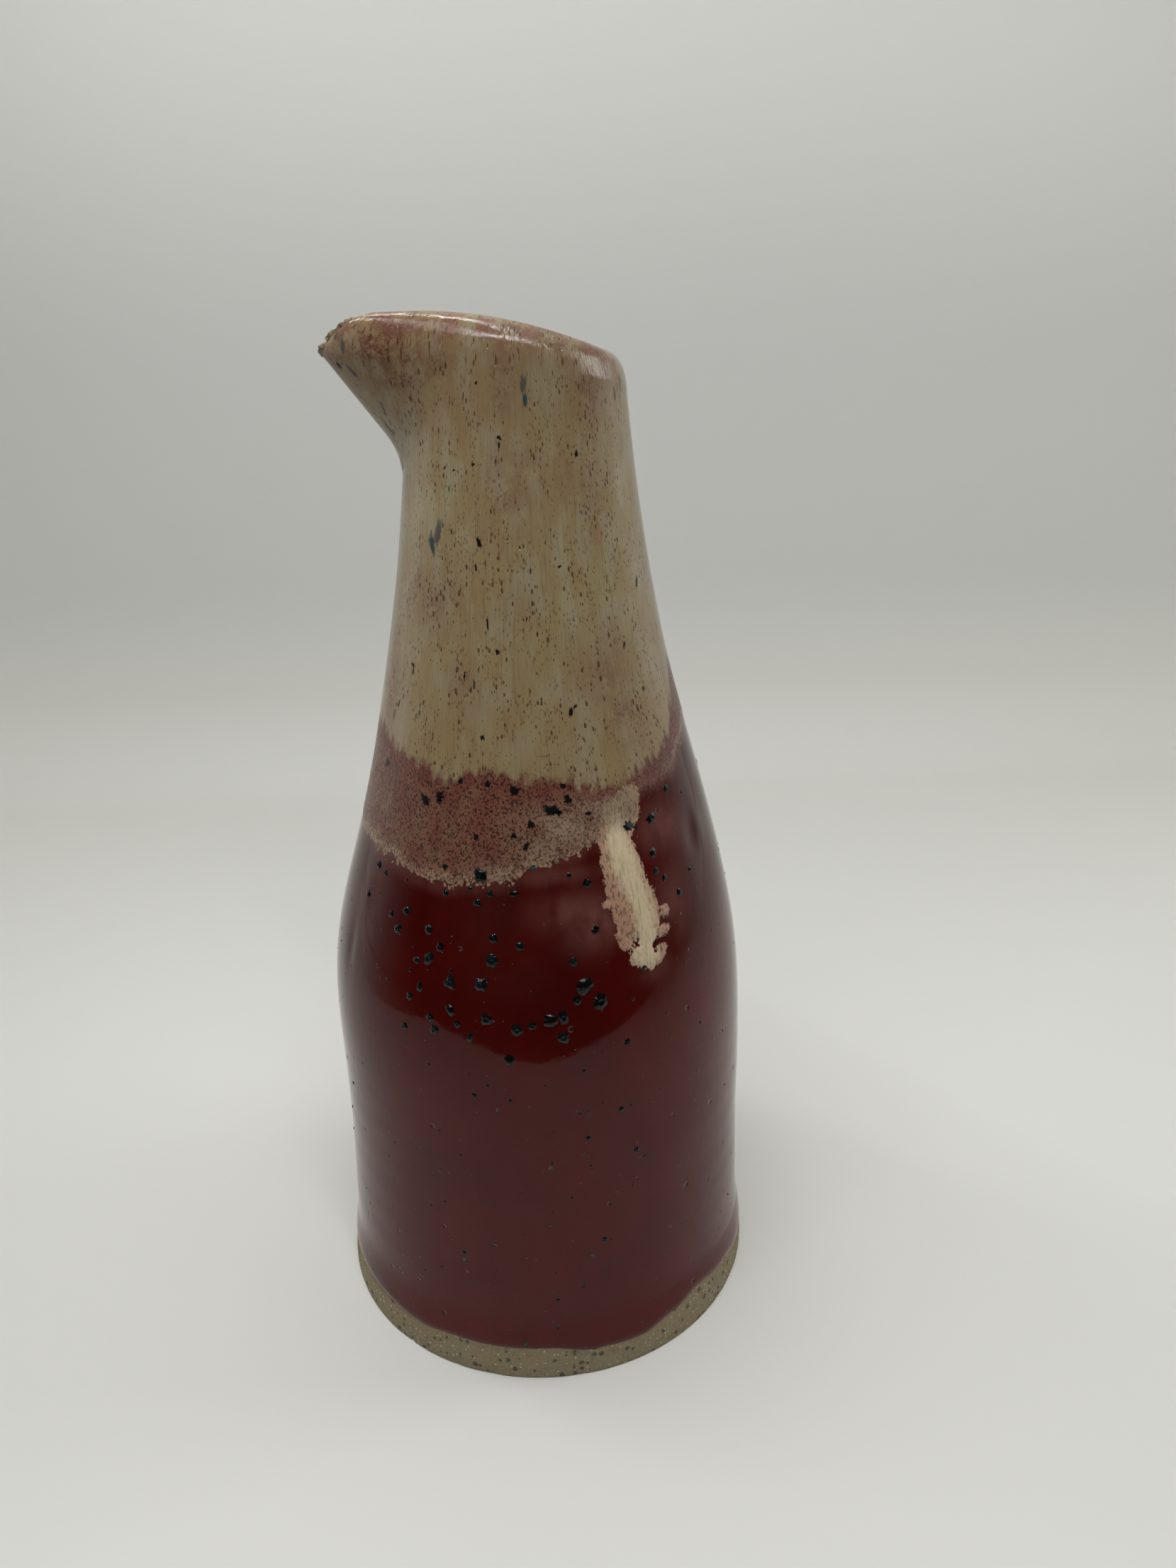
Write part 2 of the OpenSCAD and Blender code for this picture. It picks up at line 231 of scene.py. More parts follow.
# Unevenness of its cut edge as noises, and its pits: depth, noise, where they start in it and their softness
slab_swell = [(0.16, 12.0, 42), (0.09, 2.6, 43)]
slab_pit = 0.3
slab_pit_noise = [(1.0, 1.1, 41)]
slab_pit_from = 0.55
slab_pit_soft = 0.25
# It stays this far inside its solid. Its rounded edge: shares of the rounding outwards and upwards
slab_inset = 0.02
slab_edge_out = (0.0, 0.5, 0.87)
slab_edge_up = (0.0, 0.13, 0.5)
# Radii of the rings of its underside, and how far inside the wall's foot the rings of its top lie
slab_hub_r = 8.0
slab_under_r = 30.0
slab_seat_in = 1.5
slab_top_in = 3.0

# Numbers of columns and rows of the meshes
columns = 440
crowding = 30.0
back_rows = 6
red_rows = 150
overlap_rows = 34
# Rows of the cream coat up the neck, up the mouth, over the rim and down inside: its face and its back
cream_face_rows = (76, 34, 22, 24)
cream_back_rows = (4, 4, 5, 4)
run_rows = 150
run_columns = 96
torn_columns = 110
# Rows of the torn clay up the outer face, over the rim and down inside
torn_rows = (26, 34, 18)
slab_columns = 480
slab_rows = 26
# Steps between two pixels of the run's spine and middle, and cells along each side of a noise
run_steps = 4
noise_cells = 32


def radians(angle):
    return np.asarray(angle, float) * math.pi / 180


def smooth_step(t):
    s = np.clip(t, 0, 1)
    return s * s * (3 - 2 * s)


def along(points, x):
    """Value of an outline of (place, value) bends at a place, eased between the bends."""
    places = np.array([p[0] for p in points], float)
    values = np.array([p[1] for p in points], float)
    i = np.clip(np.searchsorted(places, x, side="right") - 1, 0, len(places) - 2)
    t = np.clip((x - places[i]) / (places[i + 1] - places[i]), 0, 1)
    return values[i] + (values[i + 1] - values[i]) * smooth_step(t)


def around(points, phi):
    """Value of a closed outline of (angle, value) bends."""
    first = points[0]
    return along(points + [(first[0] + 360, first[1])], np.mod(phi, 360))


def value_noise(points, size, seed):
    """Smooth noise from -1 to 1 with bumps of about the given size."""
    lattice = np.random.default_rng(seed).uniform(-1, 1, (noise_cells,) * 3)
    place = np.asarray(points, float) / size
    cell = np.floor(place).astype(int)
    f = place - cell
    f = f * f * (3 - 2 * f)
    total = 0.0
    for corner in np.ndindex(2, 2, 2):
        at = (cell + corner) % noise_cells
        share = np.prod(np.where(np.array(corner) == 1, f, 1 - f), axis=-1)
        total = total + share * lattice[at[..., 0], at[..., 1], at[..., 2]]
    return total


def bumps(points, noises):
    """Sum of noises, each given by its height, size and seed."""
    return sum(height * value_noise(points, size, seed) for height, size, seed in noises)


# Shape of the clay, as in the part's source


def clay_r(z):
    """Outer radius of the round clay wall at a height."""
    taper = foot_r + (body_r - foot_r) * (z - base_t) / taper_h
    arc = body_r - shoulder_arc_r + np.sqrt(np.maximum(0, shoulder_arc_r**2 - (z - shoulder_z) ** 2))
    slope = shoulder_top_r - (z - shoulder_top_z) * math.tan(shoulder_slope)
    neck = neck_centre_r - np.sqrt(neck_arc_r**2 - (z - neck_centre_z) ** 2)
    levels = [z < taper_top_z, z < shoulder_z, z < shoulder_top_z, z < neck_seam_z]
    return np.select(levels, [taper, body_r, arc, slope], neck)


def soft_clay_r(z):
    """The same with its bends softened, and spread where the wall is pressed onto the slab."""
    steps = np.linspace(-soft_bend, soft_bend, soft_bend_steps)
    mean = np.mean([clay_r(z + step) for step in steps], axis=0)
    press = smooth_step((foot_spread_top_z - z) / (foot_spread_top_z - foot_spread_low_z))
    return mean + foot_spread * press


def from_beak(phi):
    return np.mod(phi + 180, 360) - 180


def beak_r(z):
    """Reach of the wall below the beak at a height."""
    neck = soft_clay_r(z)
    lean = beak_reach - np.maximum(0, beak_tip_z - z) * math.tan(beak_slope)
    h = np.maximum(0, 1 - np.abs(neck - lean) / beak_blend)
    return np.maximum(neck, lean) + h * h * beak_blend / 4


def wall_r(z, phi, out):
    """Distance from the axis to a face that lies a length outside the clay's outer face."""
    neck = soft_clay_r(z)
    turn = np.degrees(np.arccos(np.minimum(1, neck / beak_r(z)))) + tip_soft
    cheek = np.maximum(0, turn - np.sqrt(from_beak(phi) ** 2 + tip_soft**2))
    return (neck + out) / np.cos(radians(cheek))


def near_tip(phi, spread):
    return np.exp(-((from_beak(phi) / spread) ** 2))


def mouth_wall(z, phi):
    """Thickness of the wall in the mouth."""
    rise = smooth_step((z - mouth_seam_z) / beak_tip_h)
    return wall_t + (beak_wall_t - wall_t) * near_tip(phi, thin_spread) * rise


def crest_z(phi):
    """Height of the rim's crest."""
    x = wall_r(np.full_like(phi, beak_tip_z), phi, 0) * np.cos(radians(phi))
    sag = rim_arc_r - np.sqrt(rim_arc_r**2 - (x - rim_top_x) ** 2)
    nose = np.clip((x - beak_reach + nose_l) / nose_l, 0, 1)
    return rim_top_z - sag - nose_drop * nose**nose_power


def edge_h(phi):
    """Height of the rim's rounded edge."""
    return roll_h + (tip_roll_h - roll_h) * near_tip(phi, sharp_spread)


# Unevenness of the glazed faces


def cream_line_z(phi):
    return around(cream_line_points, phi)


def pink_line_z(phi):
    return around(pink_line_points, phi)


def foot_line_z(phi):
    return around(foot_line_points, phi)


def flow_point(phi, z):
    """Place on a plain cylinder, along which the glaze runs straight down."""
    return np.stack(np.broadcast_arrays(body_r * np.cos(radians(phi)), body_r * np.sin(radians(phi)), z), -1)


def arc_between(phi, other, girth):
    """Length round a wall of a radius from one angle to another."""
    return radians(from_beak(phi - other)) * girth


def relief(phi, z):
    """Height of the glazed face above its even shape."""
    flow = flow_point(phi, z)
    swell = bumps(flow, hand_swell)
    rings = ring_h * np.sin(2 * math.pi * z / ring_pitch + bumps(flow, ring_wander))
    rings = rings * smooth_step((ring_top_z - z) / ring_fade_h)
    band = band_t * smooth_step((z - pink_line_z(phi)) / band_step_h)
    girth = soft_clay_r(z)
    pressed = sum(
        depth * np.exp(-((arc_between(phi, at, girth) / half_w) ** 2) - ((z - height) / half_h) ** 2)
        for at, height, half_w, half_h, depth in dents
    )
    return (swell + rings + band + pressed) * smooth_step((z - even_foot_z) / even_foot_h)


def drift(z):
    """Sideways drift of the hand-built axis."""
    return along(axis_drift, z)


def polar(r, phi, z):
    """Point at a distance from the axis, moved with the axis."""
    x = -r * np.cos(radians(phi)) + drift(z)
    return np.stack(np.broadcast_arrays(x, -r * np.sin(radians(phi)), z), -1)


def face_point(phi, z, out=0.0):
    """Point of the glazed outer face, lifted out by a length."""
    thin = thin_edge_t * np.exp(-np.maximum(0, z - foot_line_z(phi)) / thin_edge_h)
    return polar(wall_r(z, phi, coat_out - thin + relief(phi, z) + out), phi, z)


def face_frame(phi, z):
    """Directions along the wall, up the wall and out of it at a place."""
    step = 0.2
    turn = np.degrees(step / soft_clay_r(z))
    across = face_point(phi + turn, z) - face_point(phi - turn, z)
    up = face_point(phi, z + step) - face_point(phi, z - step)
    across = across / np.linalg.norm(across, axis=-1, keepdims=True)
    up = up / np.linalg.norm(up, axis=-1, keepdims=True)
    return across, up, np.cross(across, up)


# Camera of the photograph, and the places of pixels on the jug

photo_w = 1659
photo_h = 2212
focal_px = 1600.0
sensor = 36.0
camera_place = np.array([-0.65, -238.5, 217.4])
camera_pitch = math.radians(21.5)
camera_yaw = math.radians(3.112)
camera_roll = math.radians(-1.0)
camera_clip = 10.0
# Lengths between which a pixel's line of sight is followed to the jug, and its steps
sight_near = 120.0
sight_far = 330.0
sight_step = 0.2


def camera_turn():
    yaw = Matrix.Rotation(-camera_yaw, 3, "Z")
    pitch = Matrix.Rotation(math.pi / 2 - camera_pitch, 3, "X")
    return yaw @ pitch @ Matrix.Rotation(camera_roll, 3, "Z")


def on_jug(px, py):
    """Angle and height of the place on the jug that a pixel of the photograph shows."""
    ray = camera_turn() @ Vector(((px - photo_w / 2) / focal_px, (photo_h / 2 - py) / focal_px, -1))
    reach = np.arange(sight_near, sight_far, sight_step)[:, None]
    line = camera_place + reach * np.array(ray.normalized())
    z = line[:, 2]
    phi = np.degrees(np.arctan2(-line[:, 1], -(line[:, 0] - drift(z))))
    gap = np.hypot(line[:, 0] - drift(z), line[:, 1]) - wall_r(z, phi, coat_out)
    hit = int(np.argmax(gap < 0))
    return float(phi[hit]), float(z[hit])


def pixel_discs(spots, steps=1):
    """Discs on the jug, (angle, height, radius), from pixels of the photograph, with steps between them."""
    spots = np.array(spots, float)
    places = np.linspace(0, len(spots) - 1, (len(spots) - 1) * steps + 1)
    return [
        (*on_jug(*(np.interp(p, range(len(spots)), spots[:, k]) for k in (0, 1))),
         float(np.interp(p, range(len(spots)), spots[:, 2])))
        for p in places
    ]


def inside_discs(discs, phi, z):
    """Length by which a place lies inside the nearest of some discs; negative outside them."""
    girth = soft_clay_r(z)
    depth = np.full(np.broadcast(phi, z).shape, -np.inf)
    for angle, height, radius in discs:
        depth = np.maximum(depth, radius - np.hypot(arc_between(phi, angle, girth), z - height))
    return depth


def run_inside(phi, z):
    """Length by which a place lies inside the outline of the run; negative outside it."""
    depth = inside_discs(pixel_discs(run_spine, run_steps) + pixel_discs(run_curls), phi, z)
    return np.minimum(depth, -inside_discs(pixel_discs(run_bays), phi, z))


def run_middle_inside(phi, z):
    """The same for the pale middle of the run."""
    return inside_discs(pixel_discs(run_middle, run_steps), phi, z)


# Meshes


def ring_faces(rings, count):
    """Faces of a solid made of closed rings, where the last ring joins the first."""
    k, i = np.meshgrid(np.arange(rings), np.arange(count), indexing="ij")
    j = (i + 1) % count
    n = (k + 1) % rings
    return np.stack([k * count + i, k * count + j, n * count + j, n * count + i], -1).reshape(-1, 4)


def sheet_faces(rows, cols):
    """Faces of a solid with a top and a bottom grid of points."""
    top = np.arange(rows * cols).reshape(rows, cols)
    under = top + rows * cols
    quad = np.stack([top[:-1, :-1], top[:-1, 1:], top[1:, 1:], top[1:, :-1]], -1).reshape(-1, 4)
    below = np.stack([under[:-1, :-1], under[1:, :-1], under[1:, 1:], under[:-1, 1:]], -1).reshape(-1, 4)
    rim = np.concatenate([top[0, :-1], top[:-1, -1], top[-1, :0:-1], top[:0:-1, 0]])
    ahead = np.roll(rim, -1)
    side = np.stack([rim, rim + rows * cols, ahead + rows * cols, ahead], -1)
    return np.concatenate([quad, below, side])


def make_piece(name, points, faces, material, sharp_angle=50):
    """Object of a piece, with points in millimetres."""
    mesh = bpy.data.meshes.new(name)
    mesh.from_pydata((np.asarray(points, float) * MM).tolist(), [], [list(map(int, f)) for f in faces])
    mesh.update()
    mesh.shade_smooth()
    mesh.set_sharp_from_angle(angle=math.radians(sharp_angle))
    mesh.materials.append(material)
    piece = bpy.data.objects.new(name, mesh)
    bpy.context.scene.collection.objects.link(piece)
    return piece


def write_marks(piece, phi, flow_z, lip):
    """Writes what the glaze materials need to know at each point of a coat."""
    phi = np.ravel(phi)
    flow_z = np.ravel(flow_z)
    marks = {
        "cream_line": flow_z - cream_line_z(phi),
        "pink_line": flow_z - pink_line_z(phi),
        "run_line": run_inside(phi, flow_z),
        "run_middle": run_middle_inside(phi, flow_z),
        "lip": np.ravel(lip),
        "blush_and_shade": stain(seen_blush_and_shade, hidden_blush, phi, flow_z),
        "pale": stain(seen_pale, [], phi, flow_z),
        "painted_sheen": stain(seen_painted_sheen, hidden_painted_sheen, phi, flow_z),
        "fringe": stain(seen_fringe, hidden_fringe, phi, flow_z),
    }
    mesh = piece.data
    for mark, values in marks.items():
        mesh.attributes.new(mark, "FLOAT", "POINT").data.foreach_set("value", values.astype(np.float32))
    flow = flow_point(phi, flow_z).astype(np.float32)
    mesh.attributes.new("flow", "FLOAT_VECTOR", "POINT").data.foreach_set("vector", flow.ravel())


def stain(seen, hidden, phi, z):
    """Strength of soft stains: place, half width, half height and strength of each."""
    placed = [(*on_jug(px, py), half_w, half_h, strength) for px, py, half_w, half_h, strength in seen]
    girth = soft_clay_r(z)
    total = np.zeros(np.broadcast(phi, z).shape)
    for at, height, half_w, half_h, strength in placed + hidden:
        x = arc_between(phi, at, girth) / half_w
        total = np.maximum(total, strength * np.exp(-(x**2) - ((z - height) / half_h) ** 2))
    return total


# Soft stains: pixel of the photograph, or angle and height on the far side, then half width, half height and
# strength
# Blush of the cream; the patches at pixels (560, 520), (640, 570) and (590, 600) are partly painted shade
# under the beak
seen_blush_and_shade = [
    (536, 490, 5, 4, 1.0), (566, 505, 6, 4, 0.8), (612, 512, 7, 5, 0.6), (500, 470, 4, 3, 0.7),
    (831, 553, 5, 6, 0.65), (850, 520, 3, 4, 0.7), (614, 846, 9, 9, 0.55), (642, 832, 3, 3, 0.6),
    (557, 960, 4, 10, 0.6), (796, 676, 4, 5, 0.45), (834, 705, 4, 9, 0.45), (856, 948, 6, 9, 0.55),
    (655, 966, 4, 6, 0.55), (530, 600, 4, 8, 0.6), (690, 560, 5, 6, 0.35), (735, 850, 4, 5, 0.3),
    (880, 1010, 5, 7, 0.6), (560, 520, 10, 7, 0.7), (640, 570, 12, 9, 0.4), (590, 600, 9, 9, 0.35),
    (545, 860, 6, 12, 0.5), (540, 700, 5, 16, 0.3),
]
hidden_blush = [
    (215, 205, 10, 8, 0.7), (250, 170, 9, 10, 0.5), (300, 208, 9, 7, 0.8), (330, 166, 8, 12, 0.5),
    (185, 178, 7, 9, 0.5), (275, 192, 8, 6, 0.4),
]
seen_pale = [
    (800, 1166, 8, 4, 0.9), (838, 1145, 5, 4, 0.9), (872, 1140, 6, 4.5, 1.1), (762, 1200, 5, 4, 0.7),
    (700, 1228, 5, 2, 0.4),
]
seen_fringe = [(935, 1090, 9, 8, 1.0), (975, 1060, 9, 10, 1.0), (1000, 1020, 8, 12, 1.0)]
hidden_fringe = [(175, 142, 14, 12, 1.0)]
# Painted sheen: soft mauve reflections of dents on the red coat, laid on as stains
seen_painted_sheen = [
    (840, 1302, 6, 5, 1.0), (812, 1286, 8, 4, 0.7), (932, 1168, 7, 4.5, 0.7), (948, 1272, 5, 7, 0.55),
    (925, 1364, 4, 3, 0.6), (780, 1236, 9, 2, 0.6), (690, 1290, 7, 9, 0.08), (725, 1375, 8, 6, 0.07),
]
hidden_painted_sheen = [(200, 112, 9, 7, 0.6), (255, 104, 10, 6, 0.5), (310, 108, 8, 5, 0.6)]


def column_angles():
    """Angles of the columns, closer together at the beak."""
    turn = np.arange(columns) * 360 / columns
    return turn - crowding * np.sin(radians(turn))


def make_coat(name, low_z, high_z, rows, material):
    """Coat on the outer face between two edges, a closed shell."""
    phi = column_angles()[None, :]
    share = np.linspace(0, 1, rows + 1)[:, None]
    back_share = np.linspace(1, 0, back_rows)[:, None]
    z = low_z(phi) + (high_z(phi) - low_z(phi)) * share
    back_z = low_z(phi) + (high_z(phi) - low_z(phi)) * back_share
    front = face_point(phi, z)
    back = polar(wall_r(back_z, phi, coat_in), phi, back_z)
    points = np.concatenate([front, back]).reshape(-1, 3)
    piece = make_piece(name, points, ring_faces(rows + 1 + back_rows, columns), material)
    all_z = np.concatenate([z, back_z])
    all_phi = np.broadcast_to(phi, all_z.shape)
    write_marks(piece, all_phi, all_z, np.zeros(all_z.shape))
    return piece


def cream_path(out_at, neck_rows, mouth_rows, roll_rows, inside_rows):
    """Rows up the neck, over the rim and down inside the mouth: points, height along the flow, lip."""
    phi = column_angles()[None, :]
    roll_z = crest_z(phi) - edge_h(phi)
    low = cream_line_z(phi)
    neck_z = low + (mouth_seam_z - low) * np.linspace(0, 1, neck_rows, endpoint=False)[:, None]
    mouth_z = mouth_seam_z + (roll_z - mouth_seam_z) * np.linspace(0, 1, mouth_rows)[:, None]
    outer_z = np.concatenate([neck_z, mouth_z])
    outer = polar(wall_r(outer_z, phi, out_at(phi, outer_z)), phi, outer_z)

    theta = np.linspace(0, math.pi, roll_rows + 2)[1:-1, None]
    half = mouth_wall(roll_z, phi) / 2
    roll_out = out_at(phi, roll_z) + 0 * theta
    roll_at = roll_z + (edge_h(phi) + roll_out) * np.sin(theta)
    roll = polar(wall_r(roll_z, phi, (half + roll_out) * np.cos(theta) - half), phi, roll_at)

    floor_z = mouth_seam_z + coat_in
    inside_z = floor_z + (roll_z - floor_z) * np.linspace(1, 0, inside_rows)[:, None]
    depth = mouth_wall(inside_z, phi) + out_at(phi, inside_z)
    inside = polar(wall_r(inside_z, phi, -depth), phi, inside_z)

    points = np.concatenate([outer, roll, inside])
    top = crest_z(phi)
    flow_z = np.concatenate([outer_z, roll_z + (top - roll_z) * 2 * theta / math.pi, 2 * top - inside_z])
    lip = smooth_step((flow_z - top + roll_h + lip_start) / (roll_h + lip_start))
    lip = lip * smooth_step((top + lip_inside_h - flow_z) / lip_fade_h)
    return points, flow_z, lip


def make_cream_coat(name, material):
    """Coat of the neck, the rim and the inside of the mouth, a closed shell."""

    def outer(phi, z):
        share = 1 - neck_calm * smooth_step((z - cream_line_z(phi)) / neck_calm_h)
        return coat_out + relief(phi, z) * share

    def inner(phi, z):
        return coat_in + 0 * phi * z

    front, front_flow, front_lip = cream_path(outer, *cream_face_rows)
    back, back_flow, back_lip = cream_path(inner, *cream_back_rows)
    points = np.concatenate([front, back[::-1]])
    points[..., 2] = np.minimum(points[..., 2], coat_top_z)
    flow_z = np.concatenate([front_flow, back_flow[::-1]])
    lip = np.concatenate([front_lip, back_lip[::-1]])
    piece = make_piece(name, points.reshape(-1, 3), ring_faces(len(points), columns), material)
    phi = np.broadcast_to(column_angles()[None, :], flow_z.shape)
    write_marks(piece, phi, flow_z, lip)
    return piece


def make_run(name, material):
    """The long run of cream: a low, domed tongue that sinks into the coat round its edge."""
    z = np.linspace(run_top_z, run_low_z, run_rows)[:, None]
    spine = np.array(pixel_discs(run_spine, run_steps))[::-1]
    middle = np.interp(z, spine[:, 1], spine[:, 0])
    side = np.linspace(-1, 1, run_columns)[None, :]
    phi = middle + np.degrees(side * run_half_w / soft_clay_r(z))
    z = np.broadcast_to(z, phi.shape)
    flow = flow_point(phi, z)
    inside = run_inside(phi, z) + bumps(flow, run_frill)
    dome = run_full_t * (1 - np.exp(-np.maximum(0, inside) / run_round))
    streak = bumps(flow * (1, 1, run_streak_stretch), run_streak) * smooth_step(inside)
    fade = smooth_step((run_top_z - z) / run_root_h)
    lift = np.where(inside > 0, dome + streak, np.maximum(-run_sink, inside * run_edge_slope))
    lift = lift * fade - run_sink * (1 - fade)
    top = face_point(phi, z, lift)
    bottom = face_point(phi, z, -2 * run_sink)
    points = np.concatenate([top.reshape(-1, 3), bottom.reshape(-1, 3)])
    piece = make_piece(name, points, sheet_faces(run_rows, run_columns)[:, ::-1], material, sharp_angle=70)
    both = np.stack([z, z])
    write_marks(piece, np.stack([phi, phi]), both, np.zeros(both.shape))
    return piece


def rim_point(phi, s, out):
    """Point on the way over the rim: s below 0 on the outer face, 0 to 1 round the edge, above 1 inside."""
    roll_z = crest_z(phi) - edge_h(phi)
    theta = np.clip(s, 0, 1) * math.pi
    half = mouth_wall(roll_z, phi) / 2
    out = out + (1 - neck_calm) * relief(phi, roll_z)
    z = roll_z + (edge_h(phi) + out) * np.sin(theta) + np.minimum(0, s) - np.maximum(0, s - 1)
    outer = wall_r(z, phi, out)
    edge = wall_r(roll_z, phi, (half + out) * np.cos(theta) - half)
    inner = wall_r(z, phi, -mouth_wall(z, phi) - out)
    r = np.where(s < 0, outer, np.where(s > 1, inner, edge))
    return polar(r, phi, z)


def make_torn_tip(name, material):
    """Raw, torn clay along the end of the beak, where the glaze pulled back, with small nicks."""
    phi = np.linspace(-torn_half_angle, torn_half_angle, torn_columns)[None, :]
    down = np.linspace(-torn_drop, 0, torn_rows[0])
    edge = np.linspace(0, 1, torn_rows[1])[1:]
    inner = np.linspace(1, 1 + torn_drop, torn_rows[2])[1:]
    s = np.concatenate([down, edge, inner])[:, None]
    even = rim_point(phi, s, coat_out)
    ridge = rim_point(phi, np.minimum(torn_middle, torn_share + torn_climb * np.abs(phi)), coat_out)
    from_ridge = np.linalg.norm(even - ridge, axis=-1)

    def away(angle, share):
        spot = rim_point(np.full((1, 1), angle), np.full((1, 1), share), coat_out)
        return np.linalg.norm(even - spot, axis=-1)

    from_tip = away(0.0, torn_tip_share)
    ragged = bumps(even, torn_outline)
    bare = smooth_step((torn_half_w + torn_ragged * ragged - from_ridge) / torn_soft)
    bare = np.maximum(bare, smooth_step((torn_tip_r + torn_ragged * ragged - from_tip) / torn_soft))
    bare = bare * smooth_step((torn_l + torn_ragged_end * ragged - from_tip) / torn_soft_end)
    lift = torn_ridge * np.exp(-((from_ridge / torn_ridge_w) ** 2))
    lift = lift * smooth_step((torn_l - from_tip) / torn_ridge_end)
    lift = lift + torn_nub * np.exp(-((from_tip / torn_nub_w) ** 2))
    for side in (-1, 1):
        nick = away(side * torn_nick_angle, torn_nick_share) / torn_nick_r
        lift = lift - torn_nick * np.exp(-(nick**2))
    rough = bumps(even, torn_rough)
    top = rim_point(phi, s, coat_out - torn_sink + bare * (torn_proud + rough + lift))
    bottom = rim_point(phi, s, coat_out - torn_back + 0 * bare)
    points = np.concatenate([top.reshape(-1, 3), bottom.reshape(-1, 3)])
    points[:, 2] = np.minimum(points[:, 2], coat_top_z)
    return make_piece(name, points, sheet_faces(len(s), torn_columns), material, sharp_angle=80)


def make_slab(name, material):
    """Raw base slab with a hand-cut edge, smeared up over the foot of the wall."""
    count = slab_columns
    phi = (np.arange(count) * 360 / count)[None, :]
    flank_z = np.linspace(slab_edge_r, slab_smear_z, slab_rows)[:, None]
    flow = flow_point(phi, flank_z)
    pits = smooth_step((bumps(flow, slab_pit_noise) - slab_pit_from) / slab_pit_soft)
    uneven = bumps(flow, slab_swell) - slab_pit * pits
    spread = slab_foot_proud * smooth_step((slab_foot_z - flank_z) / slab_foot_h)
    flank_r = np.minimum(soft_clay_r(flank_z) + slab_proud + spread + uneven, base_r - slab_inset)
    flank = polar(flank_r, phi, flank_z)

    def level_rings(radii, heights):
        return polar(np.array(radii)[:, None] + 0 * phi, phi, np.array(heights)[:, None] + 0 * phi)

    low_r = flank_r[:1] - slab_edge_r * (1 - np.array(slab_edge_out))[:, None]
    low_z = slab_edge_r * np.array(slab_edge_up)[:, None] + 0 * phi
    low = polar(low_r, phi, low_z)
    under = level_rings([slab_hub_r, slab_under_r], [0.0, 0.0])
    top_r = [foot_r - slab_seat_in, foot_r - slab_top_in, slab_hub_r]
    top = level_rings(top_r, [slab_smear_z, base_t, base_t])
    rings = np.concatenate([under, low, flank, top])
    centres = np.array([[0, 0, 0], [0, 0, base_t]], float)
    last = len(rings) * count
    quads = ring_faces(len(rings), count)[: -count].tolist()
    ahead = (np.arange(count) + 1) % count
    fan_low = [[last, int(j), int(i)] for i, j in zip(range(count), ahead)]
    start = last - count
    fan_top = [[last + 1, start + int(i), start + int(j)] for i, j in zip(range(count), ahead)]
    points = np.concatenate([rings.reshape(-1, 3), centres])
    return make_piece(name, points, quads + fan_low + fan_top, material, sharp_angle=45)


# Iron spots

# Profiles from the sunk edge to the middle: distance and height as shares of the radius
crater_profile = [
    (1.1, -0.08), (0.95, 0.05), (0.74, 0.1), (0.54, 0.28), (0.38, 0.31), (0.24, 0.2), (0.1, 0.18),
]
dome_profile = [(1.08, -0.1), (0.9, 0.06), (0.7, 0.2), (0.48, 0.32), (0.22, 0.37)]
pit_profile = [(1.1, -0.05), (0.86, 0.06), (0.62, 0.12), (0.44, 0.09), (0.2, 0.03)]
fleck_profile = [(1.06, -0.04), (0.85, 0.02), (0.5, 0.04), (0.22, 0.05)]
# Radius from which a spot is a large one, and the columns of large and of small ones
large_spot_r = 0.6
large_spot_columns = 36
small_spot_columns = 14
# Waves of a spot's outline, how much weaker the shorter ones are, and the limits of the outline
spot_waves = range(2, 10)
spot_wave_fall = 0.8
spot_narrow = 0.4
spot_wide = 1.8
# Shares of the radius: shift of the middle, unevenness of the height, and depth of the root
spot_shift = 0.12
spot_rough = 0.08
spot_root = 0.5


def spot_mesh(middle, axes, radius, profile, spikes, stretch, lean, rng):
    """Points, faces and shares from edge to middle of one spot: rings from its sunk edge to its middle."""
    segments = large_spot_columns if radius > large_spot_r else small_spot_columns
    angle = np.arange(segments) * 2 * math.pi / segments
    swing = sum(
        rng.normal(0, spikes / k**spot_wave_fall) * np.cos(k * angle + rng.uniform(0, 2 * math.pi))
        for k in spot_waves
    )
    outline = np.clip(1 + swing, spot_narrow, spot_wide)
    across, up, out = axes
    up_axis = up * math.cos(lean) + across * math.sin(lean)
    across_axis = across * math.cos(lean) - up * math.sin(lean)
    shift = rng.uniform(-spot_shift, spot_shift, 2) * radius
    points = []
    for share, height in profile:
        reach = radius * share * (outline[:, None] * share + 1 - share)
        flat = across_axis * np.cos(angle)[:, None] + up_axis * np.sin(angle)[:, None] * stretch
        rise = height * radius * (1 + rng.normal(0, spot_rough, segments)[:, None])
        moved = (across * shift[0] + up * shift[1]) * (1 - min(1, share))
        points.append(middle + moved + flat * reach + out * rise)
    points = np.concatenate(points)
    ends = np.array([middle + out * profile[-1][1] * radius, middle - out * spot_root * radius])
    rings = len(profile)
    faces = ring_faces(rings, segments)[:-segments].tolist()
    inner = (rings - 1) * segments
    top = rings * segments
    for i in range(segments):
        j = (i + 1) % segments
        faces.append([inner + i, inner + j, top])
        faces.append([j, i, top + 1])
    edge = np.repeat([1 - min(1, share) for share, _ in profile], segments)
    return np.concatenate([points, ends]), faces, np.concatenate([edge, [1.0, 0.0]])


